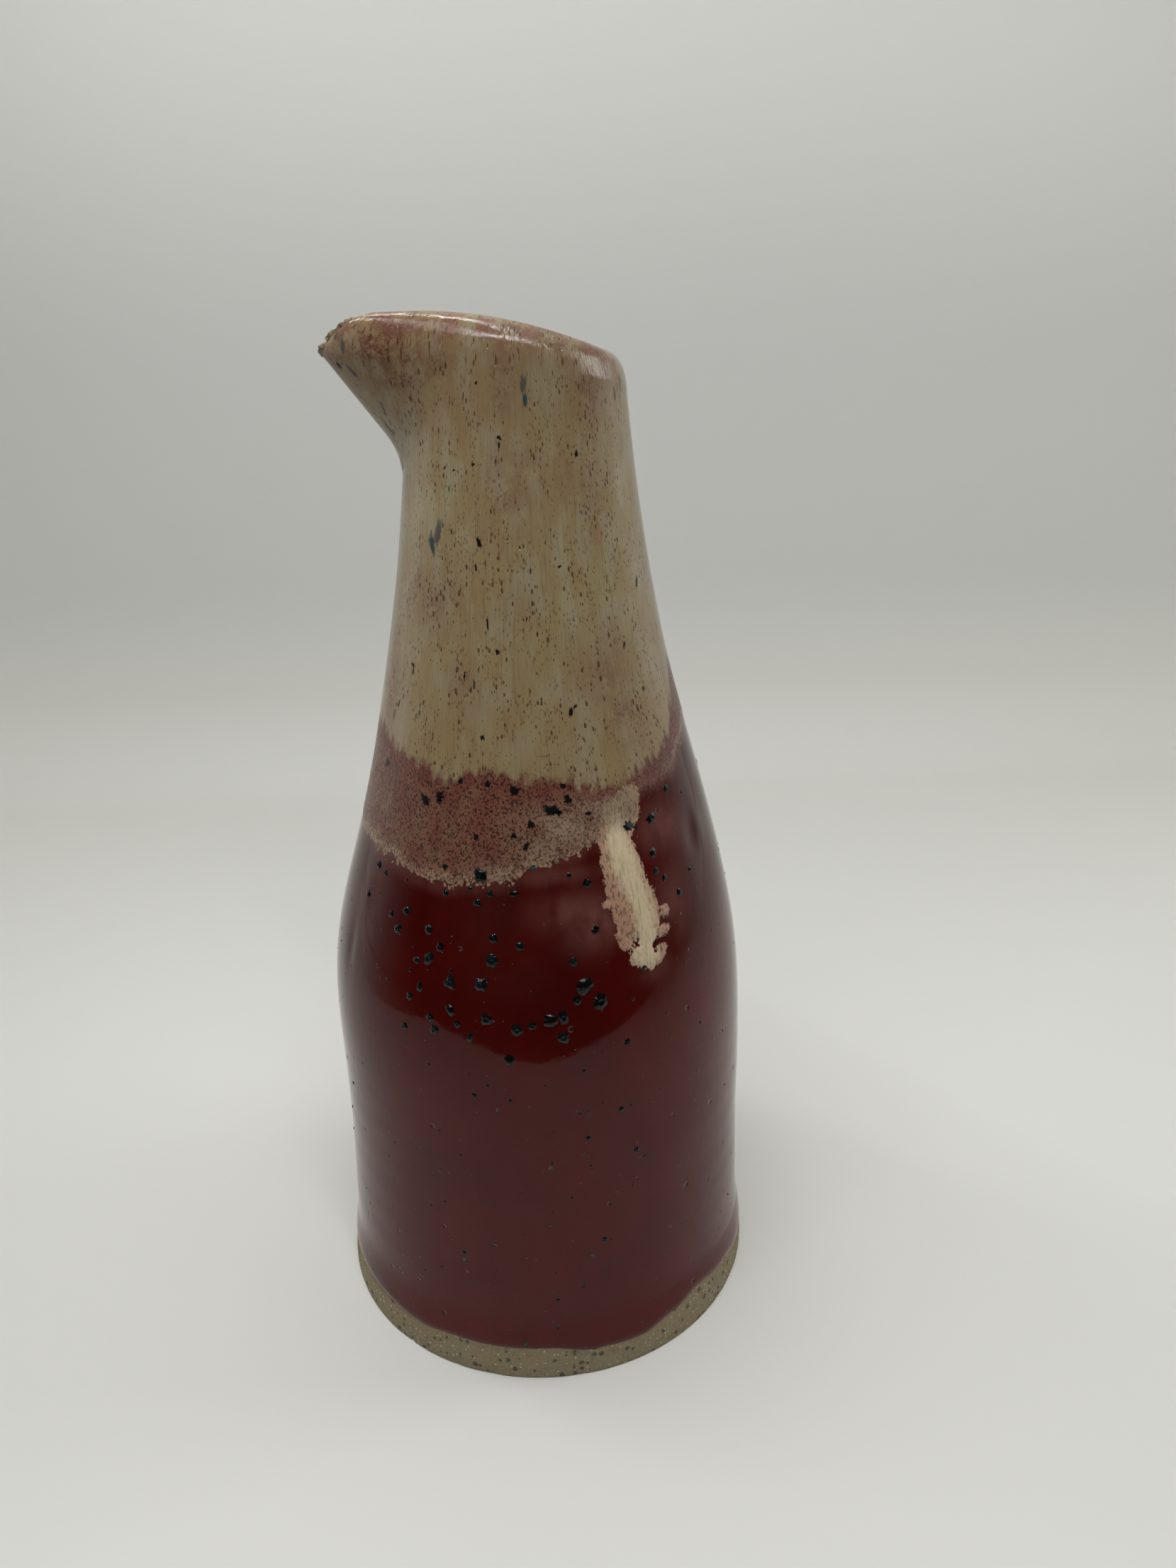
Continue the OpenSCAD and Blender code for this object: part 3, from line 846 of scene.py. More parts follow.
def make_spots(name, spots, material, seed):
    """One piece of many spots, each (angle, height, radius, profile, spikes, stretch, lean)."""
    rng = np.random.default_rng(seed)
    phi = np.array([spot[0] for spot in spots])
    z = np.array([spot[1] for spot in spots])
    middles = face_point(phi, z)
    frames = np.stack(face_frame(phi, z), 1)
    points, faces, tints, edges = [], [], [], []
    count = 0
    for spot, middle, axes in zip(spots, middles, frames):
        new_points, new_faces, edge = spot_mesh(middle, axes, *spot[2:], rng)
        points.append(new_points)
        faces += [[count + v for v in face] for face in new_faces]
        tints.append(np.full(len(new_points), rng.uniform()))
        edges.append(edge)
        count += len(new_points)
    piece = make_piece(name, np.concatenate(points), faces, material, sharp_angle=75)
    for mark, values in (("tint", tints), ("edge", edges)):
        made = piece.data.attributes.new(mark, "FLOAT", "POINT")
        made.data.foreach_set("value", np.concatenate(values).astype(np.float32))
    return piece


# Larger blisters of the red coat that the photograph shows: pixel and radius
seen_blisters = [
    (678, 1234, 1.5), (535, 1220, 1.0), (544, 1232, 0.7), (521, 1261, 0.9), (629, 1259, 0.8),
    (663, 1253, 0.6), (673, 1273, 0.9), (691, 1261, 0.8), (725, 1261, 0.8), (573, 1285, 1.0),
    (552, 1289, 0.8), (561, 1310, 1.1), (605, 1311, 1.1), (621, 1336, 1.0), (605, 1352, 1.3),
    (588, 1354, 0.9), (696, 1324, 1.0), (694, 1355, 1.4), (733, 1335, 1.0), (635, 1386, 1.4),
    (678, 1389, 1.4), (592, 1392, 1.0), (578, 1405, 0.9), (607, 1435, 1.0), (635, 1425, 1.2),
    (686, 1438, 1.3), (645, 1445, 0.8), (663, 1464, 0.9), (729, 1453, 1.3), (751, 1447, 0.9),
    (777, 1440, 1.6), (795, 1435, 1.3), (795, 1464, 1.3), (719, 1496, 1.3), (613, 1452, 1.1),
    (571, 1447, 0.9), (669, 1546, 0.7), (941, 1113, 0.9), (919, 1154, 1.2), (921, 1203, 1.1),
    (925, 1228, 0.8), (937, 1238, 0.8), (958, 1258, 0.9), (973, 1226, 0.7), (828, 1246, 1.0),
    (803, 1235, 0.6), (840, 1312, 0.9), (809, 1357, 0.9), (825, 1391, 1.9), (847, 1413, 1.7),
    (814, 1411, 1.0), (908, 1364, 0.8), (885, 1470, 0.8), (830, 1606, 0.7), (877, 1565, 0.7),
    (898, 1622, 0.7), (720, 1553, 0.5), (655, 1767, 0.6), (787, 1834, 0.6), (853, 1748, 0.7),
]
# Flecks in the overlap band: pixel and radius
seen_flecks = [
    (601, 1128, 1.3), (621, 1124, 1.3), (777, 1142, 1.5), (787, 1145, 0.9), (749, 1163, 0.9),
    (725, 1179, 0.7), (742, 1193, 0.8), (726, 1115, 1.2), (801, 1128, 1.0), (794, 1108, 0.7),
    (688, 1106, 0.8), (886, 1165, 1.3), (548, 1075, 0.9), (672, 1180, 0.7), (628, 1222, 0.7),
    (650, 1102, 0.7), (830, 1147, 0.6), (897, 1167, 0.7),
]
# Dark flecks in the cream: pixel, radius, stretch and lean in degrees
seen_streaks = [
    (676, 765, 0.5, 2.6, -10), (704, 617, 0.45, 1.2, 0), (704, 628, 0.2, 5.0, 2),
    (897, 821, 0.6, 2.0, 14), (702, 919, 0.5, 1.1, 0), (584, 945, 0.3, 4.5, 4), (583, 937, 0.45, 1.2, 0),
    (805, 1004, 0.45, 3.0, 6), (811, 996, 0.35, 1.5, 20), (880, 908, 0.35, 2.2, 14),
    (907, 971, 0.45, 1.6, 10), (789, 799, 0.35, 1.2, 0), (656, 953, 0.22, 5.0, 0),
    (564, 992, 0.3, 4.0, 8), (594, 626, 0.3, 2.4, -20), (480, 516, 0.55, 1.6, -20),
    (681, 1040, 0.45, 1.6, 6), (688, 880, 0.28, 5.0, -6), (672, 800, 0.2, 5.0, -4),
    (812, 640, 0.5, 1.4, 20), (628, 660, 0.3, 1.2, 0), (668, 655, 0.3, 1.2, 0), (641, 663, 0.25, 1.2, 0),
    (672, 540, 0.3, 1.2, 0),
]
# Blue-grey marks in the cream: pixel, radius, stretch and lean in degrees
seen_marks = [
    (619, 752, 1.1, 3.4, 10), (610, 765, 0.95, 3.0, -12), (737, 541, 0.7, 3.2, 4),
    (741, 565, 0.6, 3.0, 6), (486, 487, 0.6, 3.2, 0), (499, 525, 0.6, 3.2, -16), (873, 541, 0.45, 4.5, 0),
    (866, 556, 0.45, 4.0, 0), (551, 606, 0.7, 3.2, -24), (557, 1008, 0.5, 4.0, 6),
    (888, 1165, 1.5, 0.7, 10), (752, 1224, 0.8, 1.8, 8),
]
# Pinholes of the red coat, with a raised edge: pixel and radius
seen_pits = [
    (520, 1453, 0.5), (546, 1433, 0.45), (490, 1491, 0.5), (515, 1593, 0.55), (581, 1603, 0.45),
    (622, 1651, 0.5), (661, 1517, 0.5), (830, 1570, 0.55), (823, 1627, 0.5), (835, 1652, 0.6),
    (901, 1632, 0.45), (965, 1627, 0.4), (1001, 1663, 0.65), (1006, 1464, 0.5), (984, 1513, 0.55),
    (1034, 1506, 0.5), (1020, 1611, 0.5), (944, 1729, 0.55), (596, 1799, 0.6), (570, 1769, 0.55),
    (643, 1742, 0.4), (781, 1820, 0.4), (781, 1862, 0.45), (925, 1803, 0.45), (896, 1835, 0.45),
    (1017, 1708, 0.5), (1014, 1733, 0.5), (973, 1776, 0.5), (941, 1430, 0.5), (1013, 1198, 0.5),
    (982, 1252, 0.45), (1004, 1312, 0.45), (967, 1357, 0.4), (893, 1409, 0.45), (496, 1268, 0.5),
    (482, 1310, 0.5), (524, 1301, 0.45), (539, 1312, 0.4), (533, 1362, 0.5), (515, 1341, 0.5),
    (537, 1380, 0.45), (494, 1363, 0.5),
]
# Iron that shows dimly from under the red coat: pixel and radius
seen_shadows = [
    (835, 1771, 0.75), (777, 1648, 0.75), (775, 1729, 0.7), (656, 1776, 0.7), (660, 1793, 0.6),
    (593, 1773, 0.6), (701, 1565, 0.7), (947, 1465, 0.6), (742, 1896, 0.7), (545, 1380, 0.6),
]

# Far side of the jug, where spots are scattered, and the narrower part of it with blisters
far_side = (175, 365)
blistered_side = (175, 355)
# The larger this is, the more of the scattered spots are small
spot_size_power = 2.5
# Lowest places of the blisters, of the small ones, and of pinholes and dim spots
blister_low_z = 84.0
small_low_z = 20.0
pit_low_z = 14.0
# Size of a blister against the size that its pixel gives, and how ragged and how tall the spots are
blister_share = 0.88
blister_spikes = 0.16
fleck_spikes = 0.42
pit_spikes = 0.1
mark_spikes = 0.08
round_stretch = 1.1
fleck_stretch = 2.2
mark_stretch = 3.4


def level(z):
    """Line at one height all round."""
    return lambda phi: z + 0 * phi


def off(line, rise):
    """Line a length above another one."""
    return lambda phi: line(phi) + rise


def scatter(count, low, high, sizes, seed, angles=(0, 360)):
    """Seeded places between two lines: angle, height and radius, more of the small ones."""
    rng = np.random.default_rng(seed)
    phi = rng.uniform(*angles, count)
    share = rng.uniform(0, 1, count)
    z = low(phi) + (high(phi) - low(phi)) * share
    radius = sizes[0] + (sizes[1] - sizes[0]) * rng.uniform(0, 1, count) ** spot_size_power
    return [(float(a), float(b), float(c)) for a, b, c in zip(phi, z, radius)]


def round_spots(spots):
    """Angle, height and radius of spots at pixels of the photograph."""
    return [(*on_jug(px, py), radius) for px, py, radius in spots]


def leaning_spots(spots):
    """The same with their stretch and lean."""
    return [(*on_jug(px, py), radius, stretch, math.radians(lean)) for px, py, radius, stretch, lean in spots]


def upright(spots, stretch):
    """Round spots stretched upwards."""
    return [(*spot, stretch, 0.0) for spot in spots]


def shaped(spots, profile, spikes):
    """Spots with their profile and raggedness."""
    return [(phi, z, radius, profile, spikes, stretch, lean) for phi, z, radius, stretch, lean in spots]


def blister_list():
    top = off(pink_line_z, -1.0)
    places = round_spots(seen_blisters)
    places += scatter(120, level(blister_low_z), top, (0.4, 1.5), seed=51, angles=blistered_side)
    places += scatter(170, level(small_low_z), top, (0.16, 0.5), seed=52)
    spots = []
    for place, (phi, z, radius) in enumerate(places):
        profile = crater_profile if radius > large_spot_r and place % 3 else dome_profile
        spots.append((phi, z, blister_share * radius, profile, blister_spikes, round_stretch, 0.0))
    return spots


def fleck_list():
    low = scatter(50, pink_line_z, cream_line_z, (0.35, 1.3), seed=53, angles=far_side)
    high = scatter(50, off(cream_line_z, 3.0), off(crest_z, -9.0), (0.2, 0.55), seed=54, angles=far_side)
    spots = upright(round_spots(seen_flecks) + low, 1.0)
    spots += leaning_spots(seen_streaks) + upright(high, fleck_stretch)
    return shaped(spots, fleck_profile, fleck_spikes)


def pit_list():
    hidden = scatter(60, level(pit_low_z), off(pink_line_z, -2.0), (0.3, 0.6), seed=56, angles=far_side)
    return shaped(upright(round_spots(seen_pits) + hidden, round_stretch), pit_profile, pit_spikes)


def shadow_list():
    hidden = scatter(24, level(pit_low_z), off(pink_line_z, -6.0), (0.4, 0.8), seed=57, angles=far_side)
    return shaped(upright(round_spots(seen_shadows) + hidden, 1.0), fleck_profile, pit_spikes)


def mark_list():
    hidden = scatter(12, off(cream_line_z, 8.0), off(crest_z, -10.0), (0.5, 0.9), seed=55, angles=far_side)
    spots = leaning_spots(seen_marks) + upright(hidden, mark_stretch)
    return shaped(spots, fleck_profile, mark_spikes)


# Materials


class Bench:
    """Short words for laying out nodes in a tree."""

    MIX_A = 6
    MIX_B = 7
    MIX_RESULT = 2
    BLEND_A = 2
    BLEND_B = 3

    def __init__(self, tree):
        self.tree = tree

    def node(self, kind, **settings):
        made = self.tree.nodes.new(kind)
        for word, value in settings.items():
            setattr(made, word, value)
        return made

    def feed(self, socket, value):
        if isinstance(value, bpy.types.NodeSocket):
            self.tree.links.new(value, socket)
        else:
            socket.default_value = value

    def mark(self, name):
        return self.node("ShaderNodeAttribute", attribute_name=name).outputs["Fac"]

    def flow(self, stretch=1.0):
        """Place along the flow, with lengths down the jug shortened by a share."""
        place = self.node("ShaderNodeAttribute", attribute_name="flow").outputs["Vector"]
        return self.scaled(place, (1.0, 1.0, stretch))

    def place(self, stretch=1.0):
        """Place on the jug in millimetres, with heights shortened by a share."""
        place = self.node("ShaderNodeTexCoord").outputs["Object"]
        return self.scaled(place, (1 / MM, 1 / MM, stretch / MM))

    def sides(self):
        """Place in the frame in metres, along X, Y and Z."""
        made = self.node("ShaderNodeSeparateXYZ")
        self.feed(made.inputs[0], self.node("ShaderNodeTexCoord").outputs["Object"])
        return made.outputs

    def scaled(self, vector, shares):
        made = self.node("ShaderNodeVectorMath", operation="MULTIPLY")
        self.feed(made.inputs[0], vector)
        made.inputs[1].default_value = shares
        return made.outputs[0]

    def work(self, operation, a, b=0.0):
        made = self.node("ShaderNodeMath", operation=operation)
        self.feed(made.inputs[0], a)
        self.feed(made.inputs[1], b)
        return made.outputs[0]

    def total(self, *terms):
        result = terms[0]
        for term in terms[1:]:
            result = self.work("ADD", result, term)
        return result

    def times(self, *terms):
        result = terms[0]
        for term in terms[1:]:
            result = self.work("MULTIPLY", result, term)
        return result

    def swing(self, value, reach):
        """Noise about its middle, stretched to a reach."""
        return self.work("MULTIPLY", self.work("SUBTRACT", value, 0.5), reach)

    def ease(self, value, low, high):
        """Rises smoothly from 0 at low to 1 at high; low may be the larger."""
        made = self.node("ShaderNodeMapRange", interpolation_type="SMOOTHSTEP")
        self.feed(made.inputs["Value"], value)
        self.feed(made.inputs["From Min"], low)
        self.feed(made.inputs["From Max"], high)
        return made.outputs["Result"]

    def noise(self, vector, size, detail=2.0, roughness=0.5):
        made = self.node("ShaderNodeTexNoise")
        self.feed(made.inputs["Vector"], vector)
        made.inputs["Scale"].default_value = 1 / size
        made.inputs["Detail"].default_value = detail
        made.inputs["Roughness"].default_value = roughness
        return made.outputs["Fac"]

    def cells(self, vector, size):
        """Distance from the nearest of scattered points, in cells, and a random share for each."""
        made = self.node("ShaderNodeTexVoronoi")
        self.feed(made.inputs["Vector"], vector)
        made.inputs["Scale"].default_value = 1 / size
        share = self.node("ShaderNodeSeparateColor")
        self.tree.links.new(made.outputs["Color"], share.inputs[0])
        return made.outputs["Distance"], share.outputs[0]

    def mix(self, share, a, b):
        made = self.node("ShaderNodeMix", data_type="RGBA")
        self.feed(made.inputs[0], share)
        self.feed(made.inputs[self.MIX_A], a)
        self.feed(made.inputs[self.MIX_B], b)
        return made.outputs[self.MIX_RESULT]

    def blend(self, share, a, b):
        made = self.node("ShaderNodeMix", data_type="FLOAT")
        self.feed(made.inputs[0], share)
        self.feed(made.inputs[self.BLEND_A], a)
        self.feed(made.inputs[self.BLEND_B], b)
        return made.outputs[0]


def colour(red, green, blue):
    """Linear colour from the usual 0 to 255 values."""
    shares = [v / 255 for v in (red, green, blue)]
    return tuple(s / 12.92 if s <= 0.04045 else ((s + 0.055) / 1.055) ** 2.4 for s in shares) + (1.0,)


red_deep = colour(56, 5, 3)
red_warm = colour(86, 14, 8)
red_glint = colour(150, 95, 75)
red_shade = colour(34, 26, 27)
painted_sheen_mauve = colour(108, 68, 62)
fringe_mauve = colour(92, 50, 48)
pink_dusty = colour(120, 83, 62)
pink_rose = colour(114, 66, 52)
pink_pale = colour(166, 136, 110)
pink_grey = colour(150, 128, 108)
pink_halo = colour(112, 54, 46)
mottle_red = colour(48, 19, 13)
cream_khaki = colour(141, 124, 90)
cream_pale = colour(148, 138, 110)
cream_tan = colour(138, 113, 80)
cream_brown = colour(92, 70, 46)
speck_rust = colour(90, 56, 36)
speck_dark = colour(66, 43, 31)
blush_and_shade_rose = colour(118, 86, 69)
blush_and_shade_deep = colour(82, 49, 37)
lip_mauve = colour(108, 74, 61)
run_core = colour(208, 191, 159)
run_margin = colour(174, 137, 113)
run_root = colour(152, 137, 110)
clay_grey = colour(149, 139, 112)
clay_tan = colour(152, 136, 103)
clay_dark = colour(72, 62, 50)
clay_brown = colour(84, 64, 50)
grog_white = colour(205, 198, 178)
iron_black = colour(7, 8, 9)
iron_green = colour(13, 20, 21)
iron_brown = colour(30, 14, 11)
mark_blue = colour(44, 68, 73)
mark_grey = colour(86, 82, 78)

# How strongly the surfaces mirror, and how dull the raw clay and the cloths are
red_ior = 1.33
overlap_ior = 1.42
cream_ior = 1.45
liner_ior = 1.52
iron_ior = 1.34
pit_ior = 1.4
mark_ior = 1.42
clay_dull = 0.88
cloth_dull = 0.95
cloth_sheen = 0.1
# Gloss of the blisters and of the flecks, how much duller their grit is, and how toasted the slab and the
# torn tip are
blister_gloss = 0.04
fleck_gloss = 0.3
grit_dulling = 0.12
slab_toast = 0.4
torn_toast = 0.95


def new_group(name, inputs, outputs):
    group = bpy.data.node_groups.new(name, "ShaderNodeTree")
    for word, kind in outputs:
        group.interface.new_socket(word, in_out="OUTPUT", socket_type=kind)
    for word, kind, value in inputs:
        socket = group.interface.new_socket(word, in_out="INPUT", socket_type=kind)
        socket.default_value = value
    bench = Bench(group)
    given = bench.node("NodeGroupInput").outputs
    put_out = bench.node("NodeGroupOutput").inputs
    return group, bench, given, put_out


FLOAT = "NodeSocketFloat"
COLOUR = "NodeSocketColor"
VECTOR = "NodeSocketVector"


def cream_group():
    """Streaked cream coat with rust specks, blush, and painted shade under the beak and high on the neck."""
    group, b, given, put = new_group(
        "streaked_cream",
        [("Speck size", FLOAT, 0.38), ("Blush and shade strength", FLOAT, 1.0)],
        [("Color", COLOUR), ("Height", FLOAT)],
    )
    lip = b.mark("lip")
    broad = b.noise(b.flow(0.8), size=8.0, detail=3.0)
    fibre = b.noise(b.flow(0.08), size=0.45, detail=3.0, roughness=0.65)
    tone = b.mix(b.ease(broad, 0.4, 0.66), cream_khaki, cream_pale)
    tan = b.noise(b.flow(0.6), size=8.0, detail=3.0)
    low = b.times(b.ease(b.mark("cream_line"), 30.0, 5.0), 0.35)
    tone = b.mix(b.total(b.times(b.ease(tan, 0.52, 0.72), 0.3), low), tone, cream_tan)
    tone = b.mix(b.times(b.ease(fibre, 0.5, 0.72), b.blend(lip, 0.4, 0.1)), tone, cream_brown)
    # Painted shade: the cream turns browner high on the neck, under the rim and beak
    tone = b.mix(b.times(b.ease(b.mark("cream_line"), 45.0, 85.0), 0.34), tone, cream_brown)
    thread = b.noise(b.flow(0.12), size=1.2, detail=3.0, roughness=0.6)
    tone = b.mix(b.times(b.ease(thread, 0.56, 0.74), b.blend(lip, 0.32, 0.05)), tone, cream_brown)

    cloud = b.noise(b.place(), size=3.6, detail=4.0, roughness=0.68)
    grain = b.noise(b.place(), size=0.7, detail=3.0, roughness=0.65)
    # Blush, partly painted shade under the beak
    blush_and_shade = b.times(b.mark("blush_and_shade"), b.ease(cloud, 0.24, 0.56), given["Blush and shade strength"])
    tone = b.mix(b.times(blush_and_shade, 0.85), tone, blush_and_shade_rose)
    tone = b.mix(b.times(b.ease(blush_and_shade, 0.35, 1.0), b.ease(grain, 0.36, 0.6)), tone, blush_and_shade_deep)
    bloom = b.times(b.ease(lip, 0.2, 0.7), b.ease(b.total(cloud, b.swing(grain, 0.35)), 0.4, 0.6))
    tone = b.mix(b.times(bloom, 0.82), tone, lip_mauve)

    crowd = b.noise(b.flow(0.6), size=6.0, detail=2.0)
    dense = b.total(b.ease(crowd, 0.2, 0.6), b.times(blush_and_shade, 0.4))
    near, share = b.cells(b.flow(0.7), size=1.1)
    size = b.times(given["Speck size"], b.work("POWER", share, 1.5), dense)
    speck = b.ease(b.work("SUBTRACT", near, size), 0.05, -0.05)
    near_fine, share_fine = b.cells(b.flow(0.6), size=0.7)
    size_fine = b.times(given["Speck size"], b.work("POWER", share_fine, 0.9), dense)
    speck_fine = b.ease(b.work("SUBTRACT", near_fine, size_fine), 0.08, -0.08)
    speck_tone = b.mix(b.ease(share, 0.5, 1.0), speck_rust, speck_dark)
    tone = b.mix(b.times(speck_fine, 0.7), tone, speck_rust)
    tone = b.mix(b.times(speck, 0.85), tone, speck_tone)
    b.feed(put["Color"], tone)

    peel = b.noise(b.flow(), size=0.7, detail=2.0)
    lip_peel = b.blend(lip, 0.02, 0.09)
    b.feed(put["Height"], b.total(b.times(fibre, 0.035), b.times(peel, lip_peel), b.times(speck, -0.05)))
    return group


def overlap_group():
    """Mottled band where the cream lies over the red, pale along its frilled lower edge."""
    group, b, given, put = new_group(
        "mottled_overlap",
        [("Edge depth", FLOAT, 0.0), ("Halo depth", FLOAT, -20.0)],
        [("Color", COLOUR), ("Height", FLOAT)],
    )
    patch = b.noise(b.flow(), size=5.5, detail=3.0)
    worm = b.noise(b.flow(), size=0.6, detail=3.0, roughness=0.65)
    near, share = b.cells(b.flow(0.8), size=0.9)
    tone = b.mix(b.ease(patch, 0.38, 0.62), pink_dusty, pink_rose)
    edge = b.ease(b.total(given["Edge depth"], b.swing(patch, 4.0)), 3.4, 0.4)
    tone = b.mix(b.times(edge, 0.7), tone, pink_pale)
    pale = b.times(b.mark("pale"), b.ease(patch, 0.28, 0.55))
    tone = b.mix(b.work("MINIMUM", pale, 1.0), tone, pink_grey)
    halo = b.ease(b.total(given["Halo depth"], b.swing(patch, 5.0)), -5.0, -0.5)
    tone = b.mix(b.times(halo, 0.75), tone, pink_halo)
    grit = b.ease(b.work("SUBTRACT", near, b.times(share, 0.34)), 0.06, -0.06)
    dots = b.work("MAXIMUM", b.ease(worm, 0.47, 0.6), grit)
    tone = b.mix(b.times(dots, b.blend(b.work("MINIMUM", pale, 1.0), 0.85, 0.5)), tone, mottle_red)
    b.feed(put["Color"], tone)
    b.feed(put["Height"], b.times(dots, -0.05))
    return group


def red_group():
    """Deep red coat with faint clouds, brighter where it is thin, with pale glints, small pits and mauve
    painted sheen.
    """
    group, b, given, put = new_group(
        "oxblood_red",
        [("Painted sheen", FLOAT, 0.0)],
        [("Color", COLOUR), ("Height", FLOAT)],
    )
    cloud = b.noise(b.flow(0.7), size=14.0, detail=3.0, roughness=0.5)
    thin = b.ease(b.mark("pink_line"), -20.0, -50.0)
    tone = b.mix(b.total(b.times(b.ease(cloud, 0.25, 0.75), 0.4), b.times(thin, 0.5)), red_deep, red_warm)
    # Mauve painted sheen: soft reflections painted over the red coat
    sheen_breakup = b.noise(b.flow(0.7), size=5.0, detail=3.0)
    tone = b.mix(b.times(given["Painted sheen"], b.ease(sheen_breakup, 0.1, 0.6)), tone, painted_sheen_mauve)
    near, share = b.cells(b.flow(), size=2.0)
    glint = b.times(b.ease(near, 0.08, 0.04), b.work("GREATER_THAN", share, 0.55))
    tone = b.mix(b.times(glint, 0.75), tone, red_glint)
    pit_near, pit_share = b.cells(b.flow(), size=6.0)
    pit = b.ease(b.work("SUBTRACT", pit_near, b.times(pit_share, 0.13)), 0.0, -0.05)
    pit = b.times(pit, b.work("GREATER_THAN", pit_share, 0.4))
    tone = b.mix(b.times(pit, 0.6), tone, red_shade)
    b.feed(put["Color"], tone)
    peel = b.noise(b.flow(), size=3.4, detail=2.0)
    b.feed(put["Height"], b.total(b.times(peel, 0.03), b.times(pit, -0.4), b.times(glint, 0.04)))
    return group


def dipped_group(cream, overlap, red):
    """The dipped coats laid over each other, with frilled and fingered edges and the long run."""
    group, b, given, put = new_group(
        "dipped_glaze",
        [("Frill", FLOAT, 1.0), ("Fingers", FLOAT, 6.0)],
        [("Color", COLOUR), ("Roughness", FLOAT), ("Height", FLOAT)],
    )
    lobe, _ = b.cells(b.flow(), size=1.35)
    small_lobe, _ = b.cells(b.flow(), size=0.6)
    wander = b.noise(b.flow(), size=4.0, detail=3.0)
    frill = b.total(b.swing(lobe, -2.3), b.swing(small_lobe, -0.7), b.swing(wander, 3.0))
    frill = b.times(frill, given["Frill"])
    pink_depth = b.total(b.mark("pink_line"), frill)
    soft = b.times(b.mark("fringe"), 2.2)
    pink_mask = b.ease(pink_depth, b.work("SUBTRACT", -0.16, soft), b.work("ADD", 0.16, soft))

    finger = b.noise(b.flow(0.45), size=2.2, detail=1.0)
    rag = b.noise(b.flow(0.9), size=0.7, detail=3.0, roughness=0.7)
    reach = b.swing(finger, given["Fingers"])
    cream_depth = b.total(b.mark("cream_line"), reach, b.swing(rag, 3.2))
    cream_mask = b.ease(cream_depth, -1.4, 1.1)

    run_lobes = b.total(b.swing(lobe, -0.8), b.swing(small_lobe, -0.8))
    run_depth = b.total(b.mark("run_line"), run_lobes, b.swing(wander, 0.8), b.swing(rag, 0.9))
    run_mask = b.ease(run_depth, -0.12, 0.16)
    grain = b.noise(b.flow(0.1), size=0.6, detail=3.0, roughness=0.6)
    core = b.ease(b.total(b.mark("run_middle"), b.swing(grain, 5.0), b.swing(rag, 2.5)), -1.5, 1.6)
    # Painted sheen just below the pink band and at the listed soft patches
    painted_sheen = b.times(b.ease(b.mark("pink_line"), -3.5, -0.5), 0.35)
    painted_sheen = b.work("MAXIMUM", painted_sheen, b.mark("painted_sheen"))

    red_coat = b.node("ShaderNodeGroup", node_tree=red)
    b.feed(red_coat.inputs["Painted sheen"], painted_sheen)
    overlap_coat = b.node("ShaderNodeGroup", node_tree=overlap)
    b.feed(overlap_coat.inputs["Edge depth"], pink_depth)
    b.feed(overlap_coat.inputs["Halo depth"], cream_depth)
    cream_coat = b.node("ShaderNodeGroup", node_tree=cream)

    worm = b.noise(b.flow(0.5), size=0.55, detail=2.0, roughness=0.55)
    root = b.work("MAXIMUM", b.ease(b.mark("pink_line"), -1.5, 6.0), b.ease(b.mark("pale"), 0.2, 0.9))
    run_tone = b.mix(core, b.mix(root, run_margin, run_root), run_core)
    fleck_share = b.blend(core, 0.55, 0.12)
    run_tone = b.mix(b.times(b.ease(worm, 0.5, 0.62), fleck_share), run_tone, mottle_red)
    run_tone = b.mix(b.times(b.ease(grain, 0.54, 0.68), core, 0.45), run_tone, cream_tan)

    overlap_tone = b.mix(b.times(b.mark("fringe"), 0.6), overlap_coat.outputs["Color"], fringe_mauve)
    tone = b.mix(pink_mask, red_coat.outputs["Color"], overlap_tone)
    tone = b.mix(b.times(run_mask, b.blend(root, 1.0, 0.7)), tone, run_tone)
    tone = b.mix(cream_mask, tone, cream_coat.outputs["Color"])
    b.feed(put["Color"], tone)

    matt = b.blend(pink_mask, b.blend(wander, 0.05, 0.09), b.blend(worm, 0.2, 0.34))
    matt = b.blend(run_mask, matt, b.blend(worm, 0.16, 0.3))
    matt = b.blend(cream_mask, matt, b.blend(b.mark("lip"), b.blend(wander, 0.08, 0.18), 0.035))
    b.feed(put["Roughness"], matt)

    height = b.blend(pink_mask, red_coat.outputs["Height"], b.total(overlap_coat.outputs["Height"], 0.1))
    height = b.blend(run_mask, height, b.total(b.times(worm, -0.06), b.times(grain, 0.08), 0.12))
    height = b.blend(cream_mask, height, b.total(cream_coat.outputs["Height"], 0.13))
    b.feed(put["Height"], height)
    return group


